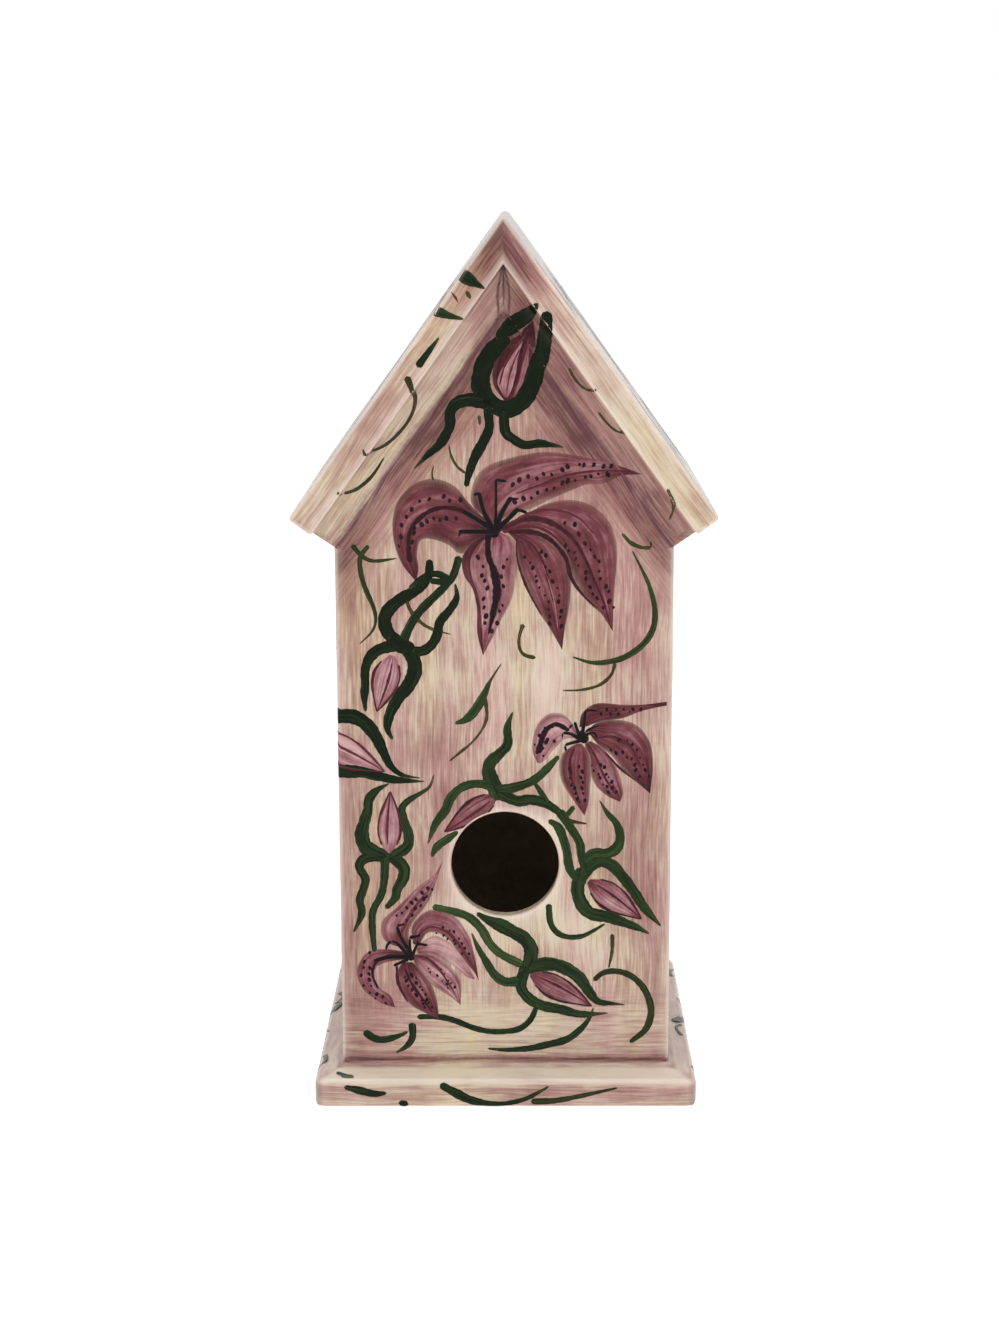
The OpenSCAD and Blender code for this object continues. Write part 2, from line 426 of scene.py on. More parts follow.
def hole_ring(shape):
    """The entry hole: flat collar out to a square, rounded lip, and bore through the wall."""
    side = spread(-COLLAR, COLLAR)[:-1]
    edge = np.full_like(side, COLLAR)
    runs = ((side, -edge), (edge, side), (-side, edge), (-edge, -side))
    square = np.concatenate([np.stack(run, -1) for run in runs])
    circle = square / np.hypot(square[:, 0], square[:, 1])[:, None]
    rings, wiped = [], []

    def ring(flat, y, wipe):
        rings.append(np.stack([flat[:, 0], np.broadcast_to(y, len(flat)), flat[:, 1] + HOLE_Z], -1))
        wiped.append(wipe)

    # paler towards the lip of the hole: thin glaze and a painted highlight
    for part in np.linspace(0, 1, 9):
        ring(square * (1 - part) + circle * (HOLE_R + HOLE_LIP) * part, -HALF, 0.9 * part**6)
        rings[-1][:, 1] -= waviness(rings[-1])
    front = rings[-1][:, 1]
    for angle in np.radians([22.5, 45, 67.5, 90]):
        r = HOLE_R + HOLE_LIP * (1 - math.sin(angle))
        ring(circle * r, front + HOLE_LIP * (1 - math.cos(angle)), 0.9 - 0.9 * angle / 3)
    for far in (0.4, 0.75, 1):
        ring(circle * HOLE_R, -HALF + HOLE_LIP + (WALL_T - HOLE_LIP) * far, 0)
    for part in np.linspace(0, 1, 5)[1:]:
        ring(circle * HOLE_R * (1 - part) + square * part, -HALF + WALL_T, 0)
    shape.ceramic(rings, ends=False, wipe=np.array(wiped)[:, None])


def side_wall(sign):
    """Side wall between the two gable walls."""
    top = APEX_Z - SLAB_T / COS - HALF * TAN
    y, z = np.meshgrid(spread(-HALF + WALL_T, HALF - WALL_T), spread(FLOOR_Z, top))
    outer = np.stack([np.full_like(y, sign * HALF), y, z], -1)
    outer[..., 0] += sign * waviness(outer)
    inner = np.stack([np.full_like(y, sign * (HALF - WALL_T)), y, z], -1)
    shape = Shape()
    shape.plate(outer, inner, quads(*y.shape, False), 0)
    return shape


def make_walls(glaze, inside):
    """Front and back gable walls, and the two side walls between them."""
    shapes = {"front": gable_wall(True, FORWARD), "back": gable_wall(False, BACKWARD),
              "right": side_wall(1), "left": side_wall(-1)}
    for name, shape in shapes.items():
        shape.build(name + "_wall_glazed", glaze, "house", "wall_glaze", [name + "_wall"], inside)


# ---------------------------------------------------------------- roof
def on_slope(s, u, y, sign):
    """Point s down the slope and u below the roof's surface, rounded over at the ridge."""
    x = s * COS - u * SIN
    z = APEX_Z - s * SIN - u * COS
    ridge = RIDGE_Z - RIDGE_R + np.sqrt(np.clip(RIDGE_R**2 - x**2, 0, None))
    z = np.where(np.abs(x) < RIDGE_R * SIN, np.minimum(z, ridge), z)
    return np.stack([sign * x, y + 0 * x, z], -1)


def slab_loop(inset):
    """Loop round the slab's section as (y, u), with rounded arrises, shrunk by inset."""
    edge = ROOF_HALF - inset
    top, low = inset, SLAB_T - inset
    r = max(ARRIS_R - inset, 0.02)
    small = 0.7 * r
    turn = np.radians(np.linspace(0, 90, 6))
    flat = spread(-edge + r, edge - r)
    under = (flat[::-1] * (edge - small) / (edge - r))[1:-1]
    fascia = np.linspace(top + r, low - small, 5)[1:-1]
    ends = np.full(3, edge)
    ys = np.concatenate([
        flat, (edge - r + r * np.sin(turn))[1:], ends, edge - small + small * np.cos(turn),
        under, -(edge - small + small * np.sin(turn)), -ends, -(edge - r + r * np.cos(turn))[:-1],
    ])
    us = np.concatenate([
        np.full(len(flat), top), (top + r - r * np.cos(turn))[1:], fascia,
        low - small + small * np.sin(turn), np.full(len(under), low), low - small + small * np.cos(turn),
        fascia[::-1], (top + r - r * np.sin(turn))[:-1],
    ])
    return ys, us


def arris_wipe(u):
    """Glaze runs thin along the arrises and is paler there, partly as a painted highlight: 1 on the roof's
    edges, 0 on the flats.
    """
    return np.clip(hump(u, 0.4, 0.7) + 0.9 * hump(u, SLAB_T - 0.3, 1.0), 0, 1)


def roof_slab(sign):
    """One roof slab: its section swept from the mitre at the ridge to the rounded eave end."""
    rings, wiped = [], []
    near_ridge = [0, 0.012, 0.024, 0.036]
    for part in np.concatenate([near_ridge, np.linspace(0.05, 1, SWEEP_PARTS)]):
        y, u = slab_loop(0)
        start = u * TAN
        rings.append(on_slope(start + (SLAB_L - ARRIS_R - start) * part, u, y, sign))
        wiped.append(arris_wipe(u))
    # the rounded eave ends are paler: thin glaze and a painted highlight
    for angle in np.radians([20, 45, 70, 90]):
        y, u = slab_loop(ARRIS_R * (1 - math.cos(angle)))
        s = SLAB_L - ARRIS_R + ARRIS_R * math.sin(angle)
        rings.append(on_slope(np.full_like(y, s), u, y, sign))
        wiped.append(np.maximum(arris_wipe(u), 0.5))
    shape = Shape()
    shape.ceramic(rings, wipe=np.array(wiped))
    return shape


def cove_section():
    """The cove's section as (depth, distance out), curve first, then its hidden corner."""
    u = np.linspace(SLAB_T, SLAB_T + COVE_DROP, 10)
    return np.append(u, SLAB_T), np.append(cove_out(u), 0.0)


def rake_cove(side, face):
    """Cove under one rake, mitred at the ridge and at the eave."""
    u, out = cove_section()
    start = u * TAN
    stop = (HALF + out + u * SIN) / COS
    s = start + (stop - start) * np.linspace(0, 1, SWEEP_PARTS)[:, None]
    y = np.broadcast_to(face * (HALF + out), s.shape)
    rings = np.stack([side * (s * COS - u * SIN), y, APEX_Z - s * SIN - u * COS], -1)
    rings[:, :-1, 1] += face * waviness(rings[:, :-1])
    shape = Shape()
    shape.ceramic(rings)
    return shape


def eave_cove(side):
    """Cove under one eave, between the two rakes."""
    u, out = cove_section()
    y = np.linspace(-1, 1, SWEEP_PARTS)[:, None] * (HALF + out)
    x = np.broadcast_to(side * (HALF + out), y.shape)
    z = np.broadcast_to(APEX_Z - (HALF + out) * TAN - u / COS, y.shape)
    shape = Shape()
    shape.ceramic(np.stack([x, y, z], -1))
    return shape


def make_roof(slope_glaze, level_glaze):
    """Both slabs, the four rake coves and the two eave coves."""
    for sign, name in SIDES:
        glaze = slope_glaze[sign]
        node = name + "_roof_slab"
        roof_slab(sign).build(node + "_glazed", glaze, "house", "roof_glaze", [node])
        for face, end in ((-1, "front"), (1, "back")):
            node = f"{end}_{name}_cove"
            rake_cove(sign, face).build(node + "_glazed", glaze, "house", "moulding_glaze", [node])
        node = name + "_eave_cove"
        eave_cove(sign).build(node + "_glazed", level_glaze, "house", "moulding_glaze", [node])


# ---------------------------------------------------------------- base and stopper
def square_ring(half_width, corner, roundness):
    """Ring of points round a square with rounded corners; roundness 1 makes it a circle."""
    flat = spread(-1, 1, 2 / SIDE_PARTS)
    side = np.stack([flat, np.full_like(flat, -1)], -1)[:-1]
    turns = [(math.cos(q), math.sin(q)) for q in np.arange(4) * math.pi / 2]
    loop = np.concatenate([side @ np.array([[c, s], [-s, c]]) for c, s in turns])
    square = loop * half_width
    if corner:
        inner = np.clip(square, corner - half_width, half_width - corner)
        off = square - inner
        length = np.maximum(np.hypot(off[:, 0], off[:, 1]), 1e-9)[:, None]
        square = inner + off / length * corner
    circle = loop / np.hypot(loop[:, 0], loop[:, 1])[:, None] * half_width
    return square * (1 - roundness) + circle * roundness


def base_profile():
    """The base's section, from the clean-out hole over the top and round to the hole again, as
    (half width, height, corner radius, roundness of the plan, thinness of the glaze, which is partly a
    painted highlight)."""
    to_hole = ((CLEANOUT_R, 1), (24, 0.7), (36, 0.3))
    profile = [(x, FLOOR_Z, 0, roundness, 0) for x, roundness in to_hole]
    profile += [(HALF - WALL_T, FLOOR_Z, 0, 0, 0), (HALF, FLOOR_Z, CORNER_R, 0, 0)]
    for angle in np.linspace(math.pi, 1.5 * math.pi - WEATHERING, 7):
        x, z = HALF + FOOT_R + FOOT_R * math.cos(angle), FOOT_Z + FOOT_R * math.sin(angle)
        profile.append((x, z, CORNER_R, 0, 0))
    foot_z = profile[-1][1]
    foot_end = HALF + FOOT_R * (1 - math.sin(WEATHERING))
    edge_end = BASE_HALF - EDGE_R + EDGE_R * math.sin(WEATHERING)
    for part in (0.25, 0.5, 0.75):
        x = foot_end + (edge_end - foot_end) * part
        profile.append((x, foot_z - (x - foot_end) * math.tan(WEATHERING), CORNER_R + 0.6 * part, 0, 0.6))
    for angle in np.linspace(math.pi / 2 - WEATHERING, 0, 7):
        x, z = BASE_HALF - EDGE_R + EDGE_R * math.cos(angle), EDGE_Z + EDGE_R * math.sin(angle)
        profile.append((x, z, BASE_CORNER_R, 0, 0.75 * math.sin(2 * angle)))
    profile += [(BASE_HALF, z, BASE_CORNER_R, 0, 0) for z in (6.6, 5, 3.2)]
    for angle in np.linspace(0, -math.pi / 2, 5):
        x, z = BASE_HALF - HEEL_R + HEEL_R * math.cos(angle), HEEL_R + HEEL_R * math.sin(angle)
        profile.append((x, z, BASE_CORNER_R, 0, 0.3))
    profile += [(RECESS_HALF, z, RECESS_CORNER_R, 0, 0) for z in (0, RECESS_Z)]
    profile += [(x, RECESS_Z, 0, roundness, 0) for x, roundness in to_hole[::-1]]
    return profile + [(CLEANOUT_R, FLOOR_Z, 0, 1, 0)]


def make_base(glaze, inside):
    """Moulded base: floor, clean-out hole, fillet, weathered top, rounded edges and recess."""
    rings, wiped = [], []
    for half_width, z, corner, roundness, thin in base_profile():
        ring = square_ring(half_width, corner, roundness)
        p = np.concatenate([ring, np.full((len(ring), 1), z)], 1)
        if half_width > HALF + 1:
            p[:, :2] *= (1 + waviness(p) * 0.6 / half_width)[:, None]
        rings.append(p)
        # paler at the base's outer corners: thin glaze and a painted highlight
        near_corner = hump(np.abs(ring[:, 0]) - np.abs(ring[:, 1]), 0, 2.5) * (half_width > HALF + 4)
        wiped.append(np.maximum(thin, 0.6 * near_corner))
    shape = Shape()
    shape.ceramic(rings, ends=False, wipe=np.array(wiped))
    shape.build("base_plinth_glazed", glaze, "house", "base_glaze", ["base_plinth"], inside)


def make_stopper(rubber):
    """Push-in rubber stopper: grip bar, flange with a rounded rim, ribbed shank, dished top."""
    low, high = corners("cleanout_stopper")
    top_z, flange_r = high[2], high[0]
    shank_r = CLEANOUT_R - 0.05
    profile = [(0, FLANGE_Z), (flange_r - 3, FLANGE_Z), (flange_r - 2.4, FLANGE_Z - 0.25)]
    for angle in np.linspace(0, math.pi / 2, 5):
        profile.append((flange_r - 0.6 + 0.6 * math.sin(angle), FLANGE_Z + 0.35 - 0.6 * math.cos(angle)))
    profile += [(flange_r, FLANGE_TOP - 0.4), (flange_r - 0.3, FLANGE_TOP), (shank_r, FLANGE_TOP)]
    for part in np.linspace(0, 1, 13):
        rib = RIB_DEPTH * (0.5 - 0.5 * math.cos(part * RIBS * 2 * math.pi))
        profile.append((shank_r - rib, FLANGE_TOP + 0.3 + (top_z - FLANGE_TOP - 1.6) * part))
    profile += [(shank_r - 0.3, top_z - 0.5), (shank_r - 1.0, top_z), (shank_r - 2.4, top_z),
                (shank_r - 3.2, top_z - 0.6), (0, top_z - 0.6)]
    radius, z = np.array(profile).T[:, :, None]
    angle = np.arange(TURNED_PARTS) * 2 * math.pi / TURNED_PARTS
    shape = Shape()
    shape.loft(np.stack([radius * np.cos(angle), radius * np.sin(angle), z + 0 * angle], -1), ends=False)
    grip_bar(shape, low[2], FLANGE_Z + 0.4)
    shape.build("cleanout_stopper_rubber", rubber, "stopper", "stopper_rubber", ["cleanout_stopper"])


def grip_bar(shape, z0, z1):
    """Bar across the flange, from z0 up to z1, with rounded ends and edges."""
    angle = np.arange(GRIP_PARTS) * 2 * math.pi / GRIP_PARTS
    to_end = np.sign(np.cos(angle)) * (np.abs(np.cos(angle)) > 1e-6)
    reach = (GRIP_LENGTH - GRIP_WIDTH) / 2 * to_end
    rings = []
    for z, inset in ((z1, 0), (z0 + 1, 0), (z0 + 0.3, 0.3), (z0, 1.0)):
        r = GRIP_WIDTH / 2 - inset
        rings.append(np.stack([reach + r * np.cos(angle), r * np.sin(angle), np.full_like(angle, z)], -1))
    shape.loft(np.array(rings), ends=True)


# ---------------------------------------------------------------- materials
def linear(red, green, blue):
    """An sRGB colour, 0 to 255, as the linear colour that Blender wants."""
    def channel(value):
        value = value / 255
        return value / 12.92 if value <= 0.04045 else ((value + 0.055) / 1.055) ** 2.4
    return channel(red), channel(green), channel(blue), 1.0


CREAM = linear(217, 204, 182)
PALE = linear(205, 187, 166)
MAUVE = linear(176, 143, 131)
DEEP = linear(147, 108, 101)
# the deepest stain, where glaze pools, also serves as painted shade in creases
POOLED_AND_SHADE = linear(105, 71, 70)
# pale thin glaze on edges and rims, which also serves as a painted highlight
THIN_GLAZE_AND_HIGHLIGHT = linear(236, 221, 207)
# glaze pooled in the creases, partly painted shade
CREASE_POOL_AND_SHADE = linear(98, 60, 70)
YELLOWED, UNTINTED, ROSY = (1.0, 1.0, 0.88, 1), (1.0, 1.0, 1.0, 1), (1.0, 0.88, 0.96, 1)

GROUND_STOPS = ((0.0, CREAM), (0.25, PALE), (0.52, MAUVE), (0.78, DEEP), (1.0, POOLED_AND_SHADE))
TINT_STOPS = ((0.34, YELLOWED), (0.5, UNTINTED), (0.66, ROSY))
LEAF_STOPS = ((0.0, linear(16, 25, 12)), (0.25, linear(27, 40, 19)), (0.5, linear(47, 65, 34)),
              (0.8, linear(80, 97, 54)), (1.0, linear(114, 124, 76)))
TAIL_STOPS = ((0.3, linear(50, 44, 20)), (0.7, linear(84, 78, 38)))
PETAL_STOPS = ((0.0, linear(198, 160, 158)), (0.25, linear(154, 106, 112)), (0.5, linear(114, 60, 66)),
               (0.75, linear(85, 39, 44)), (1.0, linear(54, 22, 28)))
LINE_STOPS = ((0.0, linear(168, 118, 120)), (0.35, linear(98, 44, 52)), (0.7, linear(54, 20, 28)),
              (1.0, linear(24, 18, 22)))
CLAY_STOPS = ((0.3, linear(186, 170, 152)), (0.7, linear(212, 196, 176)))
RUBBER_STOPS = ((0.35, linear(44, 42, 41)), (0.75, linear(72, 69, 67)))

# the angle that brush strokes make with the x axis on each lie of surface
BRUSH_ANGLE = {"upright": -math.pi / 2, "right slope": PITCH, "left slope": math.pi - PITCH, "level": 0.0}

# brush marks: scale along and across the stroke, detail and roughness of the noise
HAIR, FINE, BROAD = (80, 1500, 1.0, 0.6), (42, 760, 3.0, 0.7), (18, 150, 2.0, 0.5)
STRANDS, HUE = (26, 1050, 2.0, 0.6), (14, 90, 3.0, 0.6)
# how far the brush marks and the cloudy patches move the stain, and how pale thin glaze and the painted
# highlights on edges get
FINE_SHARE, BROAD_SHARE, PATCH_SHARE, THIN_GLAZE_AND_HIGHLIGHT_SHARE = 0.5, 0.38, 0.85, 0.62
# heights and depths, in metres, over which the brush turns level at the foot and along the rakes
LEVEL_BRUSH, RAKE_BRUSH = (0.046, 0.026), (0.062, 0.046)

# the glaze: scales of its ripples and of its duller smears, and how much the grain lifts it
RIPPLE_SCALE, SMEAR_SCALE, GRAIN_SHARE = 90.0, 240.0, 0.05
ROUGHNESS, ROUGHNESS_SWING, GLASS_IOR = 0.10, 0.12, 1.5
WALL_RIPPLE, ROOF_RIPPLE = 0.0006, 0.00015


class Nodes:
    """Builds one node tree; add returns a node, and the other methods its results."""

    def __init__(self, tree):
        self.tree = tree

    def add(self, kind, inputs=(), **settings):
        """Add a node; inputs maps a socket's name or index to a value or to another socket."""
        made = self.tree.nodes.new(kind)
        for key, value in settings.items():
            setattr(made, key, value)
        for key, value in dict(inputs).items():
            if isinstance(value, bpy.types.NodeSocket):
                self.tree.links.new(value, made.inputs[key])
            else:
                made.inputs[key].default_value = value
        return made

    def calc(self, operation, a, b=0.0, clamp=False):
        """A Math node's result."""
        return self.add("ShaderNodeMath", {0: a, 1: b}, operation=operation, use_clamp=clamp).outputs[0]

    def plus(self, a, b):
        """a + b"""
        return self.calc("ADD", a, b)

    def minus(self, a, b):
        """a - b"""
        return self.calc("SUBTRACT", a, b)

    def times(self, a, b):
        """a * b"""
        return self.calc("MULTIPLY", a, b)

    def clamped(self, amount):
        """amount kept between 0 and 1."""
        return self.calc("ADD", amount, 0.0, clamp=True)

    def shifted(self, amount, texture, share):
        """amount moved up or down by a texture that averages one half."""
        return self.plus(amount, self.times(self.minus(texture, 0.5), share))

    def mixed(self, factor, a, b):
        """A number mixed from a to b by factor."""
        return self.add("ShaderNodeMix", {0: factor, 2: a, 3: b}, data_type="FLOAT").outputs[0]

    def blend(self, factor, a, b, how="MIX"):
        """A colour mixed from a to b by factor."""
        inputs = {0: factor, 6: a, 7: b}
        return self.add("ShaderNodeMix", inputs, data_type="RGBA", blend_type=how).outputs[2]

    def ramp(self, factor, stops):
        """A colour ramp with (position, colour) stops."""
        made = self.add("ShaderNodeValToRGB", {0: factor})
        band = made.color_ramp
        while len(band.elements) < len(stops):
            band.elements.new(0.5)
        for element, (position, colour) in zip(band.elements, stops):
            element.position = position
            element.color = colour
        return made.outputs[0]

    def step(self, value, start, stop):
        """0 below start and 1 above stop, smoothly between; start may be the greater."""
        inputs = {0: value, 1: start, 2: stop}
        return self.add("ShaderNodeMapRange", inputs, interpolation_type="SMOOTHSTEP").outputs[0]

    def mark(self, name):
        """A number that the mesh carries for each point."""
        return self.add("ShaderNodeAttribute", attribute_name=name).outputs["Fac"]

    def place(self):
        """Place on the piece, in metres."""
        return self.add("ShaderNodeTexCoord").outputs["Object"]

    def parts(self, vector):
        """A vector's three numbers."""
        return self.add("ShaderNodeSeparateXYZ", {0: vector}).outputs

    def vector(self, x, y, z):
        """A vector from three numbers."""
        return self.add("ShaderNodeCombineXYZ", {0: x, 1: y, 2: z}).outputs[0]

    def combine(self, operation, a, b):
        """A Vector Math node's result."""
        return self.add("ShaderNodeVectorMath", {0: a, 1: b}, operation=operation).outputs[0]

    def turned(self, vector, angle):
        """Coordinates turned by angle about the y axis."""
        return self.add("ShaderNodeMapping", {"Vector": vector, "Rotation": (0, -angle, 0)}).outputs[0]

    def noise(self, vector, scale, detail=2.0, rough=0.5, out=0):
        """A Noise texture's value at vector, or its colour with out=1."""
        inputs = {"Vector": vector, "Scale": scale, "Detail": detail, "Roughness": rough}
        return self.add("ShaderNodeTexNoise", inputs).outputs[out]

    def streaks(self, vector, marks, flat):
        """Noise drawn out along the brush axis (flat: along both level axes)."""
        along, across, detail, rough = marks
        inputs = {"Vector": vector, "Scale": (along, along if flat else across, across)}
        return self.noise(self.add("ShaderNodeMapping", inputs).outputs[0], 1.0, detail, rough)


class Surface(Nodes):
    """A Principled material's node tree."""

    def __init__(self, name):
        self.material = bpy.data.materials.new(name)
        self.material.use_nodes = True
        super().__init__(self.material.node_tree)
        self.shader = self.tree.nodes["Principled BSDF"]

    def set(self, name, value):
        """Join a socket to the shader."""
        self.tree.links.new(value, self.shader.inputs[name])

    def bump(self, height, strength, distance):
        """Relief from a height; distance in metres."""
        made = self.add("ShaderNodeBump", {"Height": height, "Strength": strength, "Distance": distance})
        self.set("Normal", made.outputs[0])


def brushed(nodes, space, flat=False):
    """Fine bristle streaks and broad brush marks, slightly unsteady in direction."""
    sway = nodes.combine("SUBTRACT", nodes.noise(space, 22.0, 1.0, out=1), (0.5, 0.5, 0.5))
    inputs = {0: sway, 3: 0.004}
    sway = nodes.add("ShaderNodeVectorMath", inputs, operation="SCALE").outputs[0]
    space = nodes.combine("ADD", space, sway)
    brushes = (HAIR, FINE, BROAD, STRANDS)
    hair, fine, broad, strands = (nodes.streaks(space, marks, flat) for marks in brushes)
    dark = nodes.times(nodes.step(strands, 0.54, 0.72), 0.22)
    return nodes.plus(nodes.shifted(fine, hair, 1.2), dark), broad


def along_rake(nodes, place, fine, broad):
    """Brush marks that turn to follow the rakes near the top of a gable."""
    x, y, z = nodes.parts(place)
    across = nodes.calc("ABSOLUTE", x)
    rake_fine, rake_broad = brushed(nodes, nodes.turned(nodes.vector(across, y, z), PITCH))
    below = nodes.minus(APEX_Z * MM, nodes.plus(nodes.times(across, TAN), z))
    on_end = nodes.calc("GREATER_THAN", nodes.calc("ABSOLUTE", y), (HALF - WALL_T) * MM)
    near = nodes.times(nodes.step(below, *RAKE_BRUSH), on_end)
    return nodes.mixed(near, fine, rake_fine), nodes.mixed(near, broad, rake_broad)


def ground(nodes, lie):
    """The stained ground: cream clay with mauve brushed over it in streaks, with painted shade in the stain
    and painted highlights on the pale edges.
    Returns its colour and its grain."""
    place = nodes.place()
    flat = lie == "level"
    space = nodes.turned(place, BRUSH_ANGLE[lie])
    fine, broad = brushed(nodes, space, flat)
    if lie == "upright":
        level_fine, level_broad = brushed(nodes, place, flat=True)
        low = nodes.step(nodes.parts(place)["Z"], *LEVEL_BRUSH)
        fine, broad = nodes.mixed(low, fine, level_fine), nodes.mixed(low, broad, level_broad)
        fine, broad = along_rake(nodes, place, fine, broad)
    amount = nodes.shifted(nodes.mark("wash"), fine, FINE_SHARE)
    amount = nodes.shifted(amount, broad, BROAD_SHARE)
    amount = nodes.shifted(amount, nodes.noise(place, 30.0, 5.0, 0.7), PATCH_SHARE)
    tint = nodes.ramp(nodes.streaks(space, HUE, flat), TINT_STOPS)
    colour = nodes.ramp(nodes.clamped(amount), GROUND_STOPS)
    colour = nodes.blend(1.0, colour, tint, "MULTIPLY")
    # pale thin glaze along edges, partly a painted highlight
    return nodes.blend(nodes.times(nodes.mark("wipe"), THIN_GLAZE_AND_HIGHLIGHT_SHARE), colour, THIN_GLAZE_AND_HIGHLIGHT), fine


def glazed(name, colour_of, lie, ripple_depth=WALL_RIPPLE):
    """A glossy clear-glazed material; colour_of(nodes, lie) gives its colour and its grain."""
    surface = Surface(name)
    colour, grain = colour_of(surface, lie)
    surface.set("Base Color", colour)
    place = surface.place()
    ripple = surface.noise(place, RIPPLE_SCALE)
    surface.bump(surface.plus(ripple, surface.times(grain, GRAIN_SHARE)), 0.5, ripple_depth)
    smear = surface.times(surface.noise(place, SMEAR_SCALE), ROUGHNESS_SWING)
    surface.set("Roughness", surface.plus(ROUGHNESS, smear))
    surface.shader.inputs["IOR"].default_value = GLASS_IOR
    return surface.material


def stroke_streak(nodes, along, aside, scale):
    """Streaks that run along a stroke of paint; also the stroke's tone."""
    tone = nodes.mark("tone")
    run, across = nodes.times(nodes.mark("run"), along), nodes.times(nodes.mark("across"), aside)
    return nodes.noise(nodes.vector(run, across, tone), scale, 3.0, 0.6), tone


def leaf_colour(nodes, lie):
    """Opaque green slip: dark bodies, lighter brush streaks, and olive-brown thin tails."""
    base, _ = ground(nodes, lie)
    streak, tone = stroke_streak(nodes, 0.05, 2.2, 1.6)
    light = nodes.clamped(nodes.shifted(tone, streak, 1.1))
    thin = nodes.mark("thin")
    colour = nodes.blend(thin, nodes.ramp(light, LEAF_STOPS), nodes.ramp(streak, TAIL_STOPS))
    dry = nodes.calc("GREATER_THAN", nodes.plus(nodes.times(thin, 0.12), streak), 0.74)
    return nodes.blend(nodes.times(dry, 0.45), colour, base), streak


def petal_colour(nodes, lie):
    """Plum watercolour petals: darker rims and middles, paler bands, streaks along the petal."""
    base, _ = ground(nodes, lie)
    streak, tone = stroke_streak(nodes, 0.035, 3.2, 1.5)
    side = nodes.calc("ABSOLUTE", nodes.mark("across"))
    patch = nodes.noise(nodes.place(), 75.0, 4.0, 0.65)
    light = nodes.shifted(nodes.shifted(tone, streak, 1.0), patch, 1.0)
    rim = nodes.times(nodes.calc("POWER", side, 6.0), 0.24)
    colour = nodes.ramp(nodes.clamped(nodes.plus(light, rim)), PETAL_STOPS)
    soft = nodes.times(nodes.calc("POWER", side, 9.0), nodes.minus(1.15, tone))
    return nodes.blend(soft, colour, base), streak


def line_colour(nodes, lie):
    """Veins, spots and stamens: plum-brown to blue-black, by tone, with a soft rim."""
    base, grain = ground(nodes, lie)
    amount = nodes.shifted(nodes.mark("tone"), nodes.noise(nodes.place(), 420.0), 0.3)
    rim = nodes.calc("POWER", nodes.calc("ABSOLUTE", nodes.mark("across")), 8.0)
    return nodes.blend(nodes.times(rim, 0.35), nodes.ramp(amount, LINE_STOPS), base), grain


def pool_and_shade_colour(nodes, lie):
    """Glaze pooled in a crease, partly painted shade: deep mauve in the middle, fading into the ground."""
    base, grain = ground(nodes, lie)
    across = nodes.calc("ABSOLUTE", nodes.mark("across"))
    keep = nodes.minus(1.0, nodes.calc("POWER", across, 1.6))
    factor = nodes.calc("MULTIPLY", keep, nodes.shifted(nodes.mark("tone"), grain, 0.8), clamp=True)
    return nodes.blend(factor, base, CREASE_POOL_AND_SHADE), grain


def plain_material(name, stops, shade, grain, relief, roughness):
    """An unglazed material: cloudy colour and roughness, and a fine grain.
    shade and grain are noise settings, relief is (strength, distance), roughness (least, swing)."""
    surface = Surface(name)
    place = surface.place()
    cloud = surface.noise(place, *shade)
    surface.set("Base Color", surface.ramp(cloud, stops))
    surface.bump(surface.noise(place, grain), *relief)
    surface.set("Roughness", surface.plus(roughness[0], surface.times(cloud, roughness[1])))
    return surface.material


def inside_clay():
    """Pale unglazed clay inside the house: fine grit and a soft buff stain."""
    return plain_material("inside_clay", CLAY_STOPS, (70.0, 4.0, 0.6), 1800.0, (0.5, 0.0002), (0.75, 0.2))


def rubber_material():
    """Black moulded rubber: fine grain and a dull bloom."""
    return plain_material("stopper_rubber", RUBBER_STOPS, (160.0, 3.0), 2600.0, (0.4, 0.00012), (0.55, 0.25))


# ---------------------------------------------------------------- painting
# A canvas is a function of (a, b, lift), in millimetres, that gives places on a surface.
def slope_canvas(sign):
    """The roof's top on one side: a runs front to back, b down the slope, cut off at its edges."""
    def canvas(a, b, lift):
        y = np.clip(a, ARRIS_R - ROOF_HALF, ROOF_HALF - ARRIS_R)
        s = np.clip(b, RIDGE_R, SLAB_L - ARRIS_R)
        return on_slope(s, -np.asarray(lift, float), y, sign)
    return canvas


def base_canvas(side):
    """The base's top and edge on one side: a runs along it, b out from the wall and down."""
    run = (BASE_HALF - EDGE_R - HALF - FOOT_R) / math.cos(WEATHERING)
    bend = math.pi / 2 - WEATHERING
    turn = side * math.pi / 2

    def canvas(a, b, lift):
        a, b = np.asarray(a, float), np.asarray(b, float)
        on_bend = np.clip((b - run) / EDGE_R, 0, bend)
        tilt = on_bend + WEATHERING
        over = b > run
        out = HALF + FOOT_R + b * math.cos(WEATHERING)
        out = np.where(over, BASE_HALF - EDGE_R + EDGE_R * np.sin(tilt), out)
        z = FOOT_Z - FOOT_R + 0.35 - b * math.sin(WEATHERING)
        z = np.where(over, EDGE_Z + EDGE_R * np.cos(tilt), z)
        below = b - run - EDGE_R * bend
        z = np.where(below > 0, EDGE_Z - below, z)
        out = out - np.clip(HEEL_R - z, 0, HEEL_R) ** 2 / (2 * HEEL_R)
        out, z = out + lift * np.sin(tilt), z + lift * np.cos(tilt)
        place = np.stack([a, -out, z + 0 * a], -1)
        y = place[..., 1] - 0.6 * waviness(place)
        around = a * math.cos(turn) - y * math.sin(turn), a * math.sin(turn) + y * math.cos(turn)
        return np.stack([*around, place[..., 2]], -1)
    return canvas


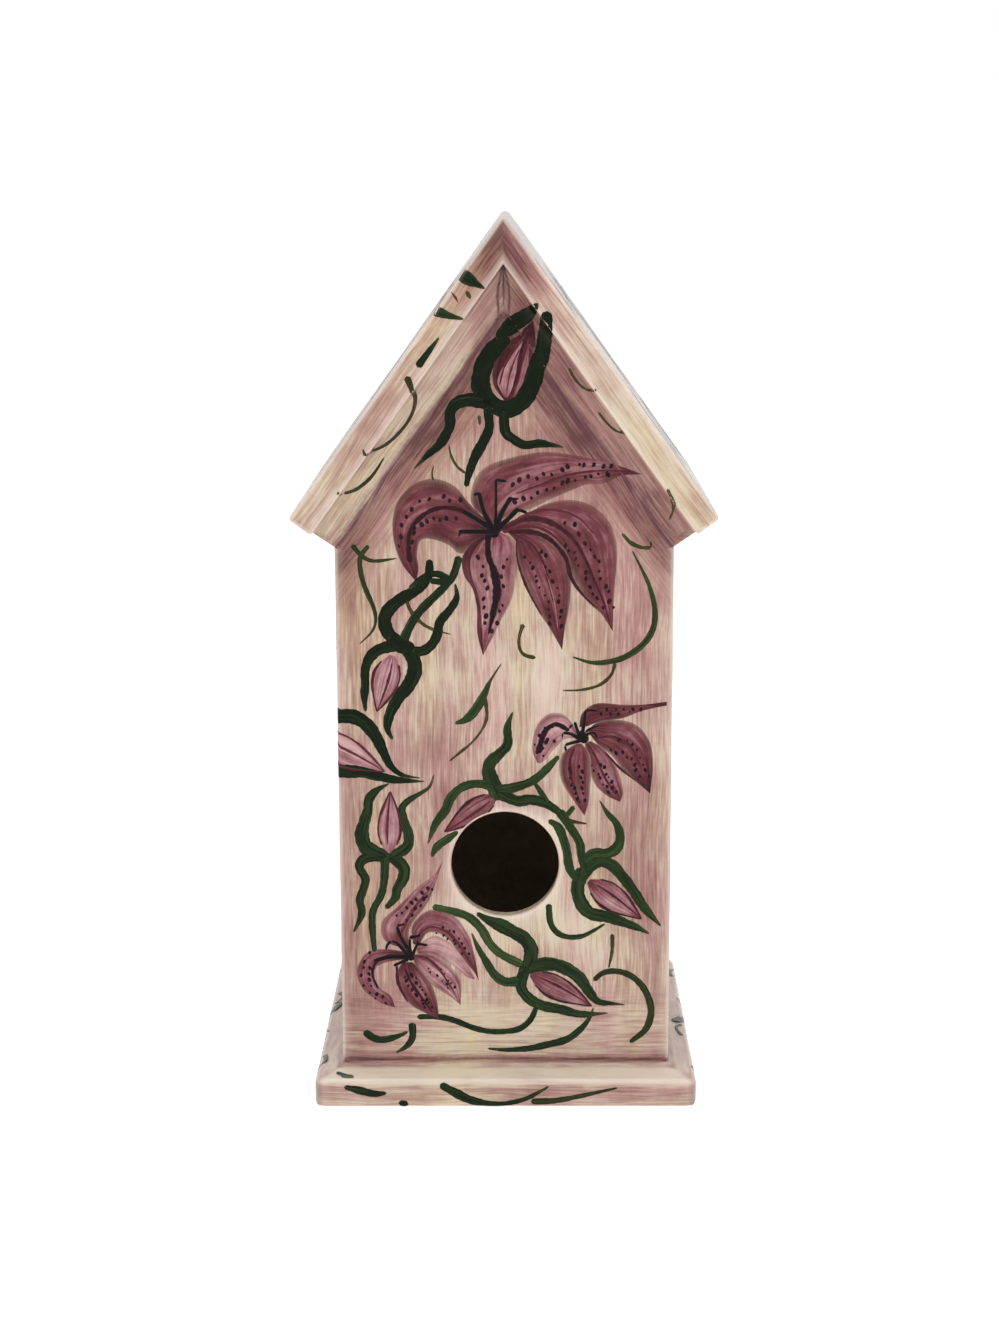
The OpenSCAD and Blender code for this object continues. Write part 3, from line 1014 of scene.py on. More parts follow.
def square_to(line):
    """Unit vectors square to a line of (across, up) points."""
    aside = np.stack([-np.gradient(line[:, 1]), np.gradient(line[:, 0])], -1)
    return aside / np.maximum(np.hypot(aside[:, 0], aside[:, 1]), 1e-9)[:, None]


def points_at(places, gone, path):
    """Points of a path at some distances along it; gone is the distance at each of its points."""
    return np.stack([np.interp(places, gone, path[:, 0]), np.interp(places, gone, path[:, 1])], -1)


def smooth_path(points, step=0.65):
    """A smooth curve through points (Catmull-Rom; straight through two), in even steps, with the
    distance along it at each step."""
    p = np.asarray(points, float)
    if len(p) == 2:
        fine = p[0] + np.linspace(0, 1, 50)[:, None] * (p[1] - p[0])
    else:
        q = np.concatenate([[2 * p[0] - p[1]], p, [2 * p[-1] - p[-2]]])
        t = np.linspace(0, 1, 24, endpoint=False)[:, None]
        parts = []
        for a, b, c, d in zip(q, q[1:], q[2:], q[3:]):
            square, cube = 2 * a - 5 * b + 4 * c - d, 3 * b - a - 3 * c + d
            parts.append(0.5 * (2 * b + (c - a) * t + square * t**2 + cube * t**3))
        fine = np.concatenate(parts + [p[-1:]])
    gone = np.concatenate([[0], np.cumsum(np.hypot(*np.diff(fine, axis=0).T))])
    even = np.linspace(0, gone[-1], max(4, int(gone[-1] / step) + 1))
    return points_at(even, gone, fine), even


def wobble(run, seed):
    """Unsteady hand: a small varying share, along the stroke."""
    return 0.55 * np.sin(run * 0.9 + seed * 2.4) + 0.45 * np.sin(run * 2.3 + seed * 5.1)


def rib_places(ribs):
    """Places across a film of paint, -1 to 1, closer together towards its edges."""
    even = np.linspace(-1, 1, ribs)
    return np.sin(even * math.pi / 2) * 0.9 + even * 0.1


# the film of paint, in millimetres: its height, what each layer adds, its dome, how far its edges
# sink into the clay and how deep its underside lies
FILM_BASE, FILM_LAYER, FILM_DOME = 0.02, 0.012, 0.03
FILM_TUCK, FILM_DEPTH = 0.02, 0.12
PETAL_RIBS, WIDE_RIBS, NARROW_RIBS = 13, 9, 5
SEED_STEP = 37.0


class Paint:
    """All the strokes of one colour family on one piece."""

    def __init__(self, film=1.0):
        self.shape, self.seed, self.film = Shape(), 0, film

    def strip(self, canvas, left, right, tone, run, thin, layer, ribs):
        """A thin domed film of paint between two edges, tucked into the clay at both."""
        self.seed += 1
        v = rib_places(ribs)
        share = ((v + 1) / 2)[None, :, None]
        flat = left[:, None, :] * (1 - share) + right[:, None, :] * share
        up = (FILM_BASE + FILM_LAYER * layer + FILM_DOME * (1 - v**4)) * self.film
        up = np.where(np.abs(v) > 0.999, -FILM_TUCK, up)
        top = canvas(flat[..., 0], flat[..., 1], up + 0 * flat[..., 0])
        low = canvas(flat[:, 1:-1, 0], flat[:, 1:-1, 1], -FILM_DEPTH + 0 * flat[:, 1:-1, 0])
        rings = np.concatenate([top, low[:, ::-1]], 1)
        size = rings.shape[:2]
        tone = np.broadcast_to(np.asarray(tone, float), (size[0], ribs))
        tone = np.concatenate([tone, tone[:, 1:-1][:, ::-1]], 1)
        across = np.broadcast_to(np.concatenate([v, v[1:-1][::-1]]), size)
        run = np.broadcast_to(run[:, None] + SEED_STEP * self.seed, size)
        thin = np.broadcast_to(np.asarray(thin)[:, None], size)
        self.shape.loft(rings, False, wash=wash(rings), wipe=0, tone=tone, run=run, across=across, thin=thin)

    def stroke(self, canvas, place, widths, points, tone=0.4, thin=0.0, layer=0, ribs=0, hand=0.07):
        """A brush stroke along points, with widths spread evenly along it and round ends.
        thin None makes its narrow parts thin."""
        ribs = ribs or (NARROW_RIBS if np.max(widths) < 2.2 else WIDE_RIBS)
        size = np.asarray(widths, float)
        points = np.array(place(points))
        for end, inner in ((0, 1), (-1, -2)):
            if size[end] > 1.5:
                way = points[end] - points[inner]
                points[end] += way / np.hypot(*way) * 0.4 * size[end] * place.size
        line, run = smooth_path(points)
        width = np.interp(run / run[-1], np.linspace(0, 1, len(size)), size) * place.size
        width = width * (1 + hand * wobble(run, self.seed + 1))
        for end, gap in ((0, run), (-1, run[-1] - run)):
            r = max(width[end] / 2, 0.15)
            width = width * np.sqrt(np.clip(1 - (1 - np.clip(gap / r, 0, 1)) ** 2, 0, 1))
        half = square_to(line) * width[:, None] / 2
        fade = np.clip(1.25 - width / 1.5, 0, 1) if thin is None else np.full(len(run), float(thin))
        self.strip(canvas, line + half, line - half, tone, run, fade, layer, ribs)

    def petal(self, canvas, place, tone, left, right, layer=0):
        """A petal between two edges that meet at its tip, darker in its heart and at its ends."""
        first, run = smooth_path(place(left))
        second, other = smooth_path(place(right))
        share = np.linspace(0, 1, max(len(first), len(second)))
        v = rib_places(PETAL_RIBS)
        along = share[:, None]
        ends = 0.18 * np.clip(along * 4 - 3, 0, 1) + 0.16 * np.clip(1 - along * 4, 0, 1)
        bands = 0.1 * np.sin(along * math.pi) * np.cos(v * 1.6) + 0.05 * np.cos(v * 4.5)
        shade = tone + 0.1 * hump(v, 0, 0.3) + ends - bands
        edges = points_at(share * run[-1], run, first), points_at(share * other[-1], other, second)
        self.strip(canvas, *edges, shade, share * run[-1], np.zeros(len(share)), layer, PETAL_RIBS)


class Place:
    """Where a motif goes: turned, mirrored, scaled and moved on its canvas."""

    def __init__(self, at=(0, 0), turn=0.0, size=1.0, flip=False, origin=(0, 0)):
        self.at, self.turn, self.size = np.array(at, float), math.radians(turn), size
        self.flip, self.origin = flip, np.array(origin, float)

    def __call__(self, points):
        """Move points of the motif's own drawing to the canvas."""
        p = (np.asarray(points, float) - self.origin) * self.size
        if self.flip:
            p = p * np.array([-1, 1])
        c, s = math.cos(self.turn), math.sin(self.turn)
        return p @ np.array([[c, s], [-s, c]]) + self.at


HERE = Place()
LEAF_WIDER, TENDRIL_WIDER, VEIN_WIDER = 1.2, 1.35, 1.1


class Art:
    """The paint of one part of the house: leaves, petals and dark lines on one canvas."""

    def __init__(self, canvas, film=1.0):
        self.canvas, self.place = canvas, HERE
        self.leaves, self.petals, self.lines = Paint(film), Paint(film), Paint(film)

    def at(self, place):
        """The same paint, with what follows drawn at place."""
        moved = copy.copy(self)
        moved.place = place
        return moved

    def leaf(self, widths, *points, tone=0.4, thin=None, layer=2):
        """A stroke of leaf green; widths run evenly along it."""
        widths = np.asarray(widths) * LEAF_WIDER
        self.leaves.stroke(self.canvas, self.place, widths, points, tone, thin, layer)

    def tendril(self, widths, *points):
        """A thin olive line in an unsteady hand."""
        widths = np.asarray(widths) * TENDRIL_WIDER
        self.leaves.stroke(self.canvas, self.place, widths, points, 0.25, 0.75, layer=1, hand=0.16)

    def petal(self, tone, left, right, layer=0):
        """A petal between its left and right edges, base first."""
        self.petals.petal(self.canvas, self.place, tone, left, right, layer)

    def vein(self, widths, *points, tone=0.6):
        """A dark line of changing width."""
        widths = np.asarray(widths) * VEIN_WIDER
        self.lines.stroke(self.canvas, self.place, widths, points, tone + 0.12, layer=7, hand=0.18)

    def stamens(self, *stamens):
        """Nearly black lines, wider at the foot: each is its width and its points."""
        for width, *points in stamens:
            widths = [width * 1.6, width * 1.1, width * 1.1]
            self.lines.stroke(self.canvas, self.place, widths, points, tone=1.0, layer=9)

    def dot(self, x, z, radius, tone=0.75):
        """An uneven round spot."""
        rise = np.sin(np.linspace(-1, 1, 8) * math.pi / 2)
        wide = np.sqrt(1 - rise**2)
        self.lines.seed += 1
        lean = 0.25 * math.sin(self.lines.seed * 1.7)
        up = z + radius * rise
        edges = [self.place(np.stack([x + radius * (s * wide + lean * rise), up], -1)) for s in (-1, 1)]
        self.lines.strip(self.canvas, *edges, tone, rise, np.zeros(8), 8, NARROW_RIBS)

    def spots(self, path, count, aside, size=0.6, seed=1):
        """Dark freckles scattered in rows on both sides of a path."""
        rng = np.random.default_rng(seed)
        line = smooth_path(path)[0]
        normal = square_to(line)
        for i in range(count):
            at = int((i + 0.5 + rng.uniform(-0.4, 0.4)) / count * (len(line) - 1))
            narrow = 1 - 0.55 * at / len(line)
            off = aside * narrow * (1 if i % 2 else -1) * rng.uniform(0.55, 1.25)
            x, z = line[at] + normal[at] * off
            self.dot(x, z, size * rng.uniform(0.7, 1.5), tone=rng.uniform(0.75, 1.0))


# Motifs: spotted lilies, pointed buds and tendrils, in millimetres as (across, up). Those of the front
# were read off the photograph; wandering_vine and the base's sides are the script's own.
def large_lily(art):
    """Wide open spotted lily with five petals and its stamens, centred near (-4, 207)."""
    hanging_edge = [(-5, 206), (-11, 202), (-14.5, 197), (-14, 191), (-11, 186), (-9.5, 179), (-9.5, 171),
                    (-7.5, 162.5)]
    art.petal(0.62, [(-5, 209), (-12, 216), (-17, 222), (-24, 224.5), (-31, 222.5), (-37, 216),
              (-38.5, 206), (-36, 196), (-30.5, 188.5)],
              [(-5, 205), (-10, 201), (-15, 198), (-19, 201), (-24, 203), (-28.5, 203), (-30, 198),
              (-29.5, 193), (-30.5, 188.5)])
    art.petal(0.5, [(-4, 209), (-11, 215), (-11, 222), (-7, 228), (2, 231.5), (14, 233.5), (26, 232),
              (37, 229.5), (47, 226)],
              [(-3, 209), (3, 212), (10, 214), (16, 217), (22, 219.5), (28, 222), (34, 222.5), (40, 225),
              (47, 226)], layer=1)
    art.petal(0.55, [(-2, 208), (7, 211.5), (14, 215.5), (23, 217), (31, 214.5), (37, 208), (39, 198),
              (38, 185), (37.5, 171)],
              [(-1, 206), (10, 206.5), (15, 204), (20, 199), (22.5, 192), (25.5, 186), (29, 181),
              (33.5, 177), (37.5, 171)], layer=1)
    art.petal(0.6, [(1, 206), (4, 202), (4.5, 196), (7, 188), (11, 179), (15, 173), (18, 168), (20, 164.5)],
              [(4, 206), (11, 205), (17, 202), (21.5, 196), (23, 188), (22.5, 180), (21, 172), (20, 164.5)],
              layer=2)
    art.petal(0.34, hanging_edge,
              [(-2, 206), (3, 203.5), (5, 198), (4.3, 190), (2.5, 182), (-1, 175), (-4, 169),
              (-7.5, 162.5)], layer=3)
    art.petal(0.78, hanging_edge,
              [(-5, 205), (-9, 201), (-11.5, 196), (-11, 190), (-9, 184), (-8, 177), (-7.5, 170),
              (-7.5, 162.5)], layer=4)
    art.vein([2, 1.6, 1.8, 1.4, 2.2], (-12, 212), (-17, 214), (-23, 214), (-28, 211.5), (-32, 207),
             (-33, 201), (-32.5, 196))
    art.vein([1.6, 2.4, 1.6, 1.2, 0.9, 0.4], (0, 207), (6, 210), (12, 210.3), (18, 208), (24, 203),
             (28, 196), (31, 189), (34, 182), (36.5, 174), tone=0.5)
    art.vein([1.8, 2.0, 1.4, 1.7, 1.0, 0.4], (2, 206), (10, 205.7), (16, 203), (21, 197), (23, 190),
             (27, 184), (32, 179), tone=0.55)
    art.vein([1.0, 1.4, 0.8, 0.3], (1, 208), (9, 212.3), (17, 213.5), (25, 211), (31, 205), tone=0.3)
    art.vein([1.4, 1.4, 0.8, 0.3], (0, 206), (8, 207.8), (14, 206.5), (20, 201.5), (24.5, 194), tone=0.35)
    art.vein([0.8, 1.3, 1.0, 0.5], (3, 205), (9, 202), (13, 196), (15, 189), (17, 181), tone=0.4)
    art.vein([0.3, 0.6, 0.4], (13, 195), (15.5, 188), (17.5, 180), (18.5, 172), tone=0.0)
    art.vein([2.4, 2.0, 3.2, 2.4, 0.6], (-5.5, 205), (-5.5, 198), (-3.5, 192), (-2.5, 185), (-4, 177),
             (-5.5, 170), tone=0.8)
    art.vein([0.5, 1.3, 0.8, 0.3], (4, 219), (12, 222), (22, 225.5), (34, 227), (44, 226.5), tone=0.35)
    art.vein([0.4, 1.1, 0.5], (4.2, 204), (4.6, 196), (8, 186), (13, 176.5), tone=0.45)
    art.spots([(-15, 214), (-25, 214), (-33, 208), (-34, 199)], 20, 4.2, 0.72, seed=3)
    art.spots([(2, 219), (14, 223), (26, 226.5), (38, 227.5)], 26, 3.4, 0.72, seed=4)
    art.spots([(18, 207), (26, 201), (31, 190), (36, 178)], 26, 4.0, 0.68, seed=5)
    art.spots([(9, 199), (14, 190), (17, 180), (18, 172)], 22, 3.4, 0.66, seed=6)
    art.spots([(-4, 198), (-3.5, 188), (-4, 178), (-6, 171)], 18, 4.4, 0.75, seed=7)
    art.stamens((1.7, (-4, 207), (-9, 210), (-13.5, 212.8)), (1.6, (-4, 206), (-10, 206), (-15, 206)),
                (1.5, (-4, 207), (-7, 213), (-8.5, 219)), (1.0, (-3, 207), (-2.8, 215), (-2.8, 224)),
                (1.6, (-3, 207), (-0.5, 213), (2.2, 217.5)), (1.7, (-3, 206), (1, 210), (4.5, 213.6)),
                (1.1, (4.5, 213.6), (6, 213.2), (8, 212.4)), (0.9, (2, 217.3), (3.5, 217.3), (5.2, 217.2)),
                (0.9, (-3, 223.9), (-1, 223.6), (1, 223.3)),
                (0.7, (-15, 206.2), (-15.3, 205), (-15.8, 204)),
                (1.0, (-10, 218.8), (-9, 219.2), (-8, 219)))
    art.dot(-3.6, 206.3, 2.5, tone=1.0)


def small_lily(art):
    """Half-turned spotted lily with hanging petals, centred near (26, 134)."""
    art.petal(0.22, [(25, 136), (22.5, 140), (20, 142), (15.5, 142), (11.5, 138.5), (9.7, 133), (9.7, 128),
              (11.5, 124)],
              [(25, 133), (21, 132.5), (18.5, 130), (16.5, 128), (15, 126), (13.5, 124.5), (12.4, 124),
              (11.5, 124)])
    art.petal(0.78, [(26, 137), (27, 142), (32, 145.5), (41, 145), (48, 145), (56.5, 146)],
              [(28, 137), (34, 139), (41, 140), (46, 142), (51, 143.5), (56.5, 144.6)], layer=1)
    art.petal(0.66, [(29, 136), (33, 139), (41, 139.5), (47, 137), (51, 131), (52, 123), (51, 113)],
              [(30, 134), (33, 130), (37, 127), (41, 122), (45, 118), (48, 115.5), (51, 113)], layer=2)
    art.petal(0.5, [(28, 131), (28.5, 126), (30, 120), (32, 115.5), (36, 112), (40.5, 110)],
              [(30, 132), (35, 129), (39, 123), (41, 117), (41.5, 113), (40.5, 110)], layer=1)
    art.petal(0.48, [(25, 131), (20.5, 128), (19, 123), (20, 117), (24, 110.5), (28, 105)],
              [(27, 131), (30, 127), (30.5, 121), (30, 115), (29.5, 110), (28, 105)], layer=3)
    art.vein([1.6, 1.6, 2.0, 2.4], (22, 136), (18, 138), (14.5, 136), (12.8, 132), (12, 128.5), tone=0.75)
    art.vein([0.8, 1.4, 0.5], (24.5, 129.5), (22.8, 125), (23.5, 118), (26, 111), tone=0.45)
    art.vein([0.9, 1.2, 0.5], (31, 133), (38, 133.5), (44, 130), (48, 122), tone=0.4)
    art.vein([0.6, 1.0, 0.4], (35, 128), (40, 122.5), (46, 117.5), tone=0.5)
    art.vein([0.5, 1.0, 0.6], (29, 131), (32, 126), (35, 119), (39, 112.5), tone=0.4)
    art.spots([(18, 135), (13, 133), (12.5, 126)], 10, 2.4, 0.6, seed=13)
    art.spots([(33, 142.5), (42, 142.5), (48, 144)], 9, 1.0, 0.5, seed=14)
    art.spots([(38, 131.5), (45, 127), (49.5, 118)], 16, 2.6, 0.62, seed=15)
    art.spots([(32, 124), (35, 118.5), (38.5, 112.5)], 14, 2.0, 0.55, seed=16)
    art.spots([(24, 123), (25.5, 116), (27.5, 109)], 15, 2.4, 0.68, seed=17)
    art.stamens((1.1, (27, 134), (27.8, 139), (28.2, 143)), (0.8, (28.2, 143), (30, 143), (32.5, 142.8)),
                (1.1, (26, 134), (25, 137), (24.4, 139)), (0.8, (24, 138), (22.8, 137), (22.4, 136.2)),
                (1.3, (26, 133), (23, 134.6), (20.3, 135)), (0.6, (20.3, 135), (20.2, 134), (20, 132.8)),
                (1.1, (26, 132), (23, 131.2), (21, 130.5)), (0.8, (21, 130.5), (21.3, 129), (21.4, 128)),
                (0.9, (28, 134), (31, 135), (32.3, 133)), (0.7, (28, 135), (30, 136.5), (33, 137.5)))
    art.dot(27.2, 133.4, 2.3, tone=1.0)


def pale_lily(art):
    """Nodding lily with two pale petals, centred near (-34, 54)."""
    art.petal(0.44, [(-36, 56), (-43, 59), (-44, 66), (-38, 72), (-31, 79), (-25.5, 83), (-22, 88.5)],
              [(-34, 56), (-34, 63), (-31, 68), (-28, 72), (-26, 76), (-24, 82), (-22, 88.5)])
    art.petal(0.1, [(-32, 57), (-25, 61), (-18, 57), (-14, 51), (-11, 45)],
              [(-31, 54), (-25, 53), (-18, 49), (-14, 45.5), (-11, 44.5)])
    art.petal(0.46, [(-33, 58), (-33, 65), (-27, 70.5), (-19, 69), (-13.5, 62), (-11, 54), (-9.5, 44)],
              [(-31, 57), (-27, 62), (-21, 60), (-16.5, 54), (-13.5, 50), (-11, 47), (-9.5, 44)], layer=1)
    art.petal(0.24, [(-33, 52), (-30, 45), (-26, 42), (-20.5, 38.5), (-16, 35)],
              [(-32, 54), (-26, 54), (-20, 50), (-16, 44), (-16, 35)], layer=2)
    art.petal(0.5, [(-36, 55), (-43, 56), (-49.5, 54.5), (-53, 48), (-51, 41), (-45, 36), (-39.5, 34)],
              [(-36, 52), (-42, 51), (-46, 49), (-46.5, 45), (-44.5, 41), (-41, 38.5), (-39.5, 34)],
              layer=1)
    art.petal(0.56, [(-37, 51), (-39, 46), (-37.5, 40), (-34, 35), (-29, 32), (-24, 29.5)],
              [(-33, 51), (-29, 47), (-26, 42), (-24.5, 37), (-24, 33), (-24, 29.5)], layer=3)
    art.vein([1.2, 1.4, 1.0, 0.8], (-35, 53.5), (-41, 53.5), (-46, 51), (-47.5, 46.5), (-45.5, 41),
             tone=0.7)
    art.vein([0.8, 1.4, 0.5], (-38.8, 50), (-38.2, 43), (-35, 36), tone=0.5)
    art.vein([0.8, 1.4, 0.5], (-36, 49), (-33.5, 43), (-29.5, 37), (-26, 32), tone=0.55)
    art.vein([0.9, 1.3, 0.5], (-32, 60), (-27, 64), (-21, 62.5), (-16, 57), (-12, 50), tone=0.3)
    art.vein([1.1, 1.2, 0.4], (-33, 53.5), (-28, 52.5), (-23, 47.5), (-18, 39), tone=0.3)
    art.vein([1.0, 1.5, 0.5], (-37, 62), (-33, 70), (-28, 77), tone=0.25)
    art.spots([(-38, 66), (-33, 71), (-26, 79)], 15, 1.9, 0.6, seed=23)
    art.spots([(-47, 54), (-50, 46), (-47, 39), (-42, 36)], 15, 1.8, 0.58, seed=24)
    art.spots([(-35, 46), (-31, 40), (-27, 33)], 18, 2.0, 0.66, seed=25)
    art.spots([(-24, 63), (-18, 60), (-13.5, 53)], 14, 1.8, 0.5, seed=26)
    art.spots([(-27, 50), (-22, 45), (-18, 40)], 12, 1.6, 0.45, seed=27)
    art.stamens((1.2, (-34, 55), (-37, 60), (-38.5, 64.5)), (0.9, (-38.5, 64.5), (-37, 65), (-35.8, 65)),
                (1.2, (-35, 54), (-38.5, 58), (-40.5, 59)), (0.9, (-40.5, 59), (-42, 57.5), (-42.6, 55.5)),
                (0.9, (-34, 55), (-34, 58), (-34, 60)), (1.2, (-33.5, 60.3), (-31.5, 60.8), (-30, 61.2)),
                (1.0, (-33, 54), (-31.5, 57.5), (-31, 59)), (1.1, (-31, 58), (-29.5, 57.6), (-27.6, 57.4)),
                (1.5, (-35, 53), (-41, 53), (-46, 51.8)), (1.1, (-35, 52), (-38, 50.6), (-40, 49.6)))
    art.dot(-34, 53.4, 1.9, tone=1.0)


def bud_body(art, base, tip, width, tone=0.12, dark=0.5):
    """Pointed pink bud with an uneven darker outline and one fold."""
    base, tip = np.array(base, float), np.array(tip, float)
    axis = tip - base
    aside = np.array([-axis[1], axis[0]]) / np.hypot(*axis) * width
    outline = ((0.0, 0.08), (0.12, 0.27), (0.32, 0.41), (0.55, 0.38), (0.8, 0.19), (1.0, 0.0))
    left, right, fold = ([base + axis * t + aside * s * w for t, w in outline] for s in (-1, 1, 0.2))
    art.petal(tone, left, right, layer=1)
    art.vein([0.5, 1.3, 0.7, 0.5], *left[1:], tone=dark)
    art.vein([0.8, 0.6, 1.1, 0.4], *right[1:], tone=dark - 0.1)
    art.vein([0.4, 1.2, 0.8, 0.3], *fold[1:], tone=dark - 0.15)


def gable_bud(art):
    """Large bud held in a green cup with three trailing roots, under the apex."""
    art.petal(0.85, [(0, 251), (-3.8, 257), (-3, 265), (2, 271), (10, 278)],
              [(2, 250), (7.5, 254), (9.5, 262), (11, 270), (10, 278)], layer=0)
    art.petal(0.25, [(0, 252), (-2.5, 257), (-1, 262), (3, 267), (6.5, 271)],
              [(1.5, 252), (4.6, 257), (5, 262), (6, 267), (6.5, 271)], layer=1)
    art.petal(0.4, [(3, 252), (4.6, 257), (6, 263), (8.5, 270)],
              [(4.5, 252.4), (7, 257), (8.5, 263), (8.5, 270)], layer=1)
    art.vein([0.8, 1.3, 0.7], (2.5, 253), (4.6, 260), (6, 268), (9.5, 276), tone=0.5)
    art.vein([0.5, 0.9, 0.6], (-1.5, 256), (0.5, 263), (5, 270), tone=0.3)
    art.vein([0.4, 0.8, 0.4], (1, 254), (2.4, 261), (5.4, 268.5), tone=0.25)
    art.leaf([3.6, 5.4, 5.4, 5.6, 5], (0.5, 271.5), (-4.5, 267), (-7.3, 261), (-7.6, 255), (-4.8, 250),
             tone=0.05)
    art.leaf([5, 5, 6, 5.4, 4.2, 3], (-5.5, 250.5), (0, 248), (5, 249.8), (8.6, 255), (10.8, 261),
             (13.2, 268), (14, 275), (14.4, 280.5), tone=0.05)
    art.leaf([2.5, 5.2, 4.6, 1], (-1.5, 272.5), (3.5, 276.8), (8, 280), (11.5, 284.5), tone=0.08)
    art.leaf([4.6, 4.2, 3.4, 3, 3, 1.8, 0.3], (-6, 250.5), (-11.5, 251.2), (-16, 250), (-18.3, 247),
             (-18.3, 243), (-19.5, 240), (-22, 236), (-26, 232.5), (-31, 227.5), tone=0.06)
    art.leaf([2.6, 2.8, 3.2, 2.6, 1.4], (-5.5, 247.5), (-5, 242), (-7, 237), (-10, 231.5), (-12, 226),
             (-12.9, 222), tone=0.08)
    art.leaf([3.2, 3, 2.6, 2.4, 0.3], (0, 246), (0.5, 240.5), (3, 238), (7, 235.8), (12, 236.3),
             (16, 235.8), (20.5, 235), tone=0.1)
    art.tendril([0.4, 0.8, 0.7], (-18.8, 236), (-18, 232), (-16, 228.5), (-13, 226))
    art.tendril([0.3, 0.7], (-24, 229), (-24.6, 226.5), (-24.3, 223.5))
    art.tendril([1.2, 0.7], (-8.5, 245.5), (-8.2, 244), (-8.3, 242.5))


def hanging_bud(art):
    """Bud hanging between two leaves from a knot near (-36, 166)."""
    bud_body(art, (-39, 162.5), (-44.6, 142.5), 11, tone=0.2)
    art.leaf([3.4, 3.6, 3.4, 2.6, 2.6, 0.8], (-34, 166.5), (-42, 165.3), (-46.3, 162.5), (-48.4, 158),
             (-48.6, 152), (-48.9, 148), (-48.6, 142.5), tone=0.12)
    art.leaf([3.6, 4.4, 4.4, 3.6, 3, 0.8], (-35, 166), (-32, 162), (-31.3, 157), (-33.5, 152), (-37, 147.5),
             (-40, 142), (-41, 136.5), (-39.2, 132.5), tone=0.14)


def stem_knot(art):
    """Tangle of stems that meets at the knot of the hanging bud."""
    art.leaf([2, 3, 3.6, 4, 4, 4], (-25.8, 195.5), (-26.3, 190.5), (-30, 186), (-36.5, 182), (-40.6, 178),
             (-41.5, 174), (-39.5, 169.5), (-35, 166), tone=0.08)
    art.leaf([2.4, 2.2, 2.6, 2.6, 3], (-15.8, 196.5), (-17.5, 191), (-20, 187.5), (-24, 183.5),
             (-29, 178.5), (-32.5, 173.5), (-35, 168), tone=0.25)
    art.leaf([1.2, 1.8, 2.2, 1.8], (-33, 186), (-29, 189.5), (-25, 191.2), (-21.5, 190.8), (-19, 188.5),
             (-25, 188.8), tone=0.15)
    art.tendril([0.8, 1.3, 0.9, 0.3], (-32.5, 184), (-33.5, 181), (-31.5, 177), (-28, 173.5), (-24, 171.5),
                (-18.5, 170))
    art.leaf([0.6, 2.4, 2.8, 3, 3, 3.4], (-17, 188), (-16.5, 183), (-19, 178.5), (-22.3, 174.5),
             (-23.5, 169.5), (-26, 165.7), (-30, 164), (-36, 165.5), tone=0.12)
    art.leaf([4, 5, 4], (-38.5, 168), (-36, 166.3), (-33, 165), tone=0.05, layer=3)


def edge_bud(art):
    """Bud lying round the left corner of the house."""
    bud_body(art, (-68, 134), (-42, 121), 13, tone=0.12, dark=0.4)
    art.leaf([3, 4.2, 4.6, 4.4, 4, 2.8, 1.6, 0.3], (-74, 138), (-66, 141.5), (-58.5, 141), (-53, 140.8),
             (-48.5, 138.2), (-45, 133.5), (-42.5, 128), (-40, 123), (-36, 119.8), (-29.5, 118.6), tone=0.1)
    art.leaf([3, 4.2, 4.4, 3.4, 2.2, 0.3], (-72, 124), (-65, 121.8), (-57, 121.3), (-50, 121), (-44, 119.3),
             (-38, 118), (-28, 117.4), tone=0.12)
    art.leaf([4, 4.6, 3], (-75, 138.5), (-77.5, 131), (-74, 124), tone=0.12)


def left_bud(art):
    """Upright bud between two leaves with three wavy roots."""
    bud_body(art, (-41, 91.5), (-40.3, 114), 9.5, tone=0.24, dark=0.45)
    art.leaf([0.3, 2.8, 3, 4.2, 4.8, 4], (-40.5, 116.8), (-45, 114.3), (-47.8, 111), (-48.3, 107),
             (-49.5, 103), (-50.5, 98), (-48.5, 93), (-43, 90.5), tone=0.3)
    art.leaf([0.5, 1.2, 2.2, 2.8, 3.4, 3.4], (-24.8, 120), (-26.5, 115.5), (-30, 113), (-34, 110.5),
             (-36.3, 107.5), (-35.5, 103), (-34, 98), (-34.8, 93.5), (-39, 90.8), tone=0.35)
    art.leaf([3, 3.2, 2.6, 2.6, 2.4, 0.5], (-42, 90.2), (-49, 89.6), (-51.6, 86.5), (-49.5, 82),
             (-50.3, 78), (-51.6, 74), (-51, 69), (-54, 62), tone=0.3)
    art.leaf([3, 2.4, 2.2, 2.2, 1.4], (-42.5, 89), (-42.8, 82), (-44, 76), (-46.8, 70.5), (-47.3, 66),
             (-47, 60), (-46.6, 55.5), tone=0.36)
    art.leaf([3.6, 3.8, 3, 1.6], (-40, 90), (-36.2, 86.5), (-36, 82.5), (-38.3, 78), (-39, 75), (-42, 71.5),
             tone=0.32)


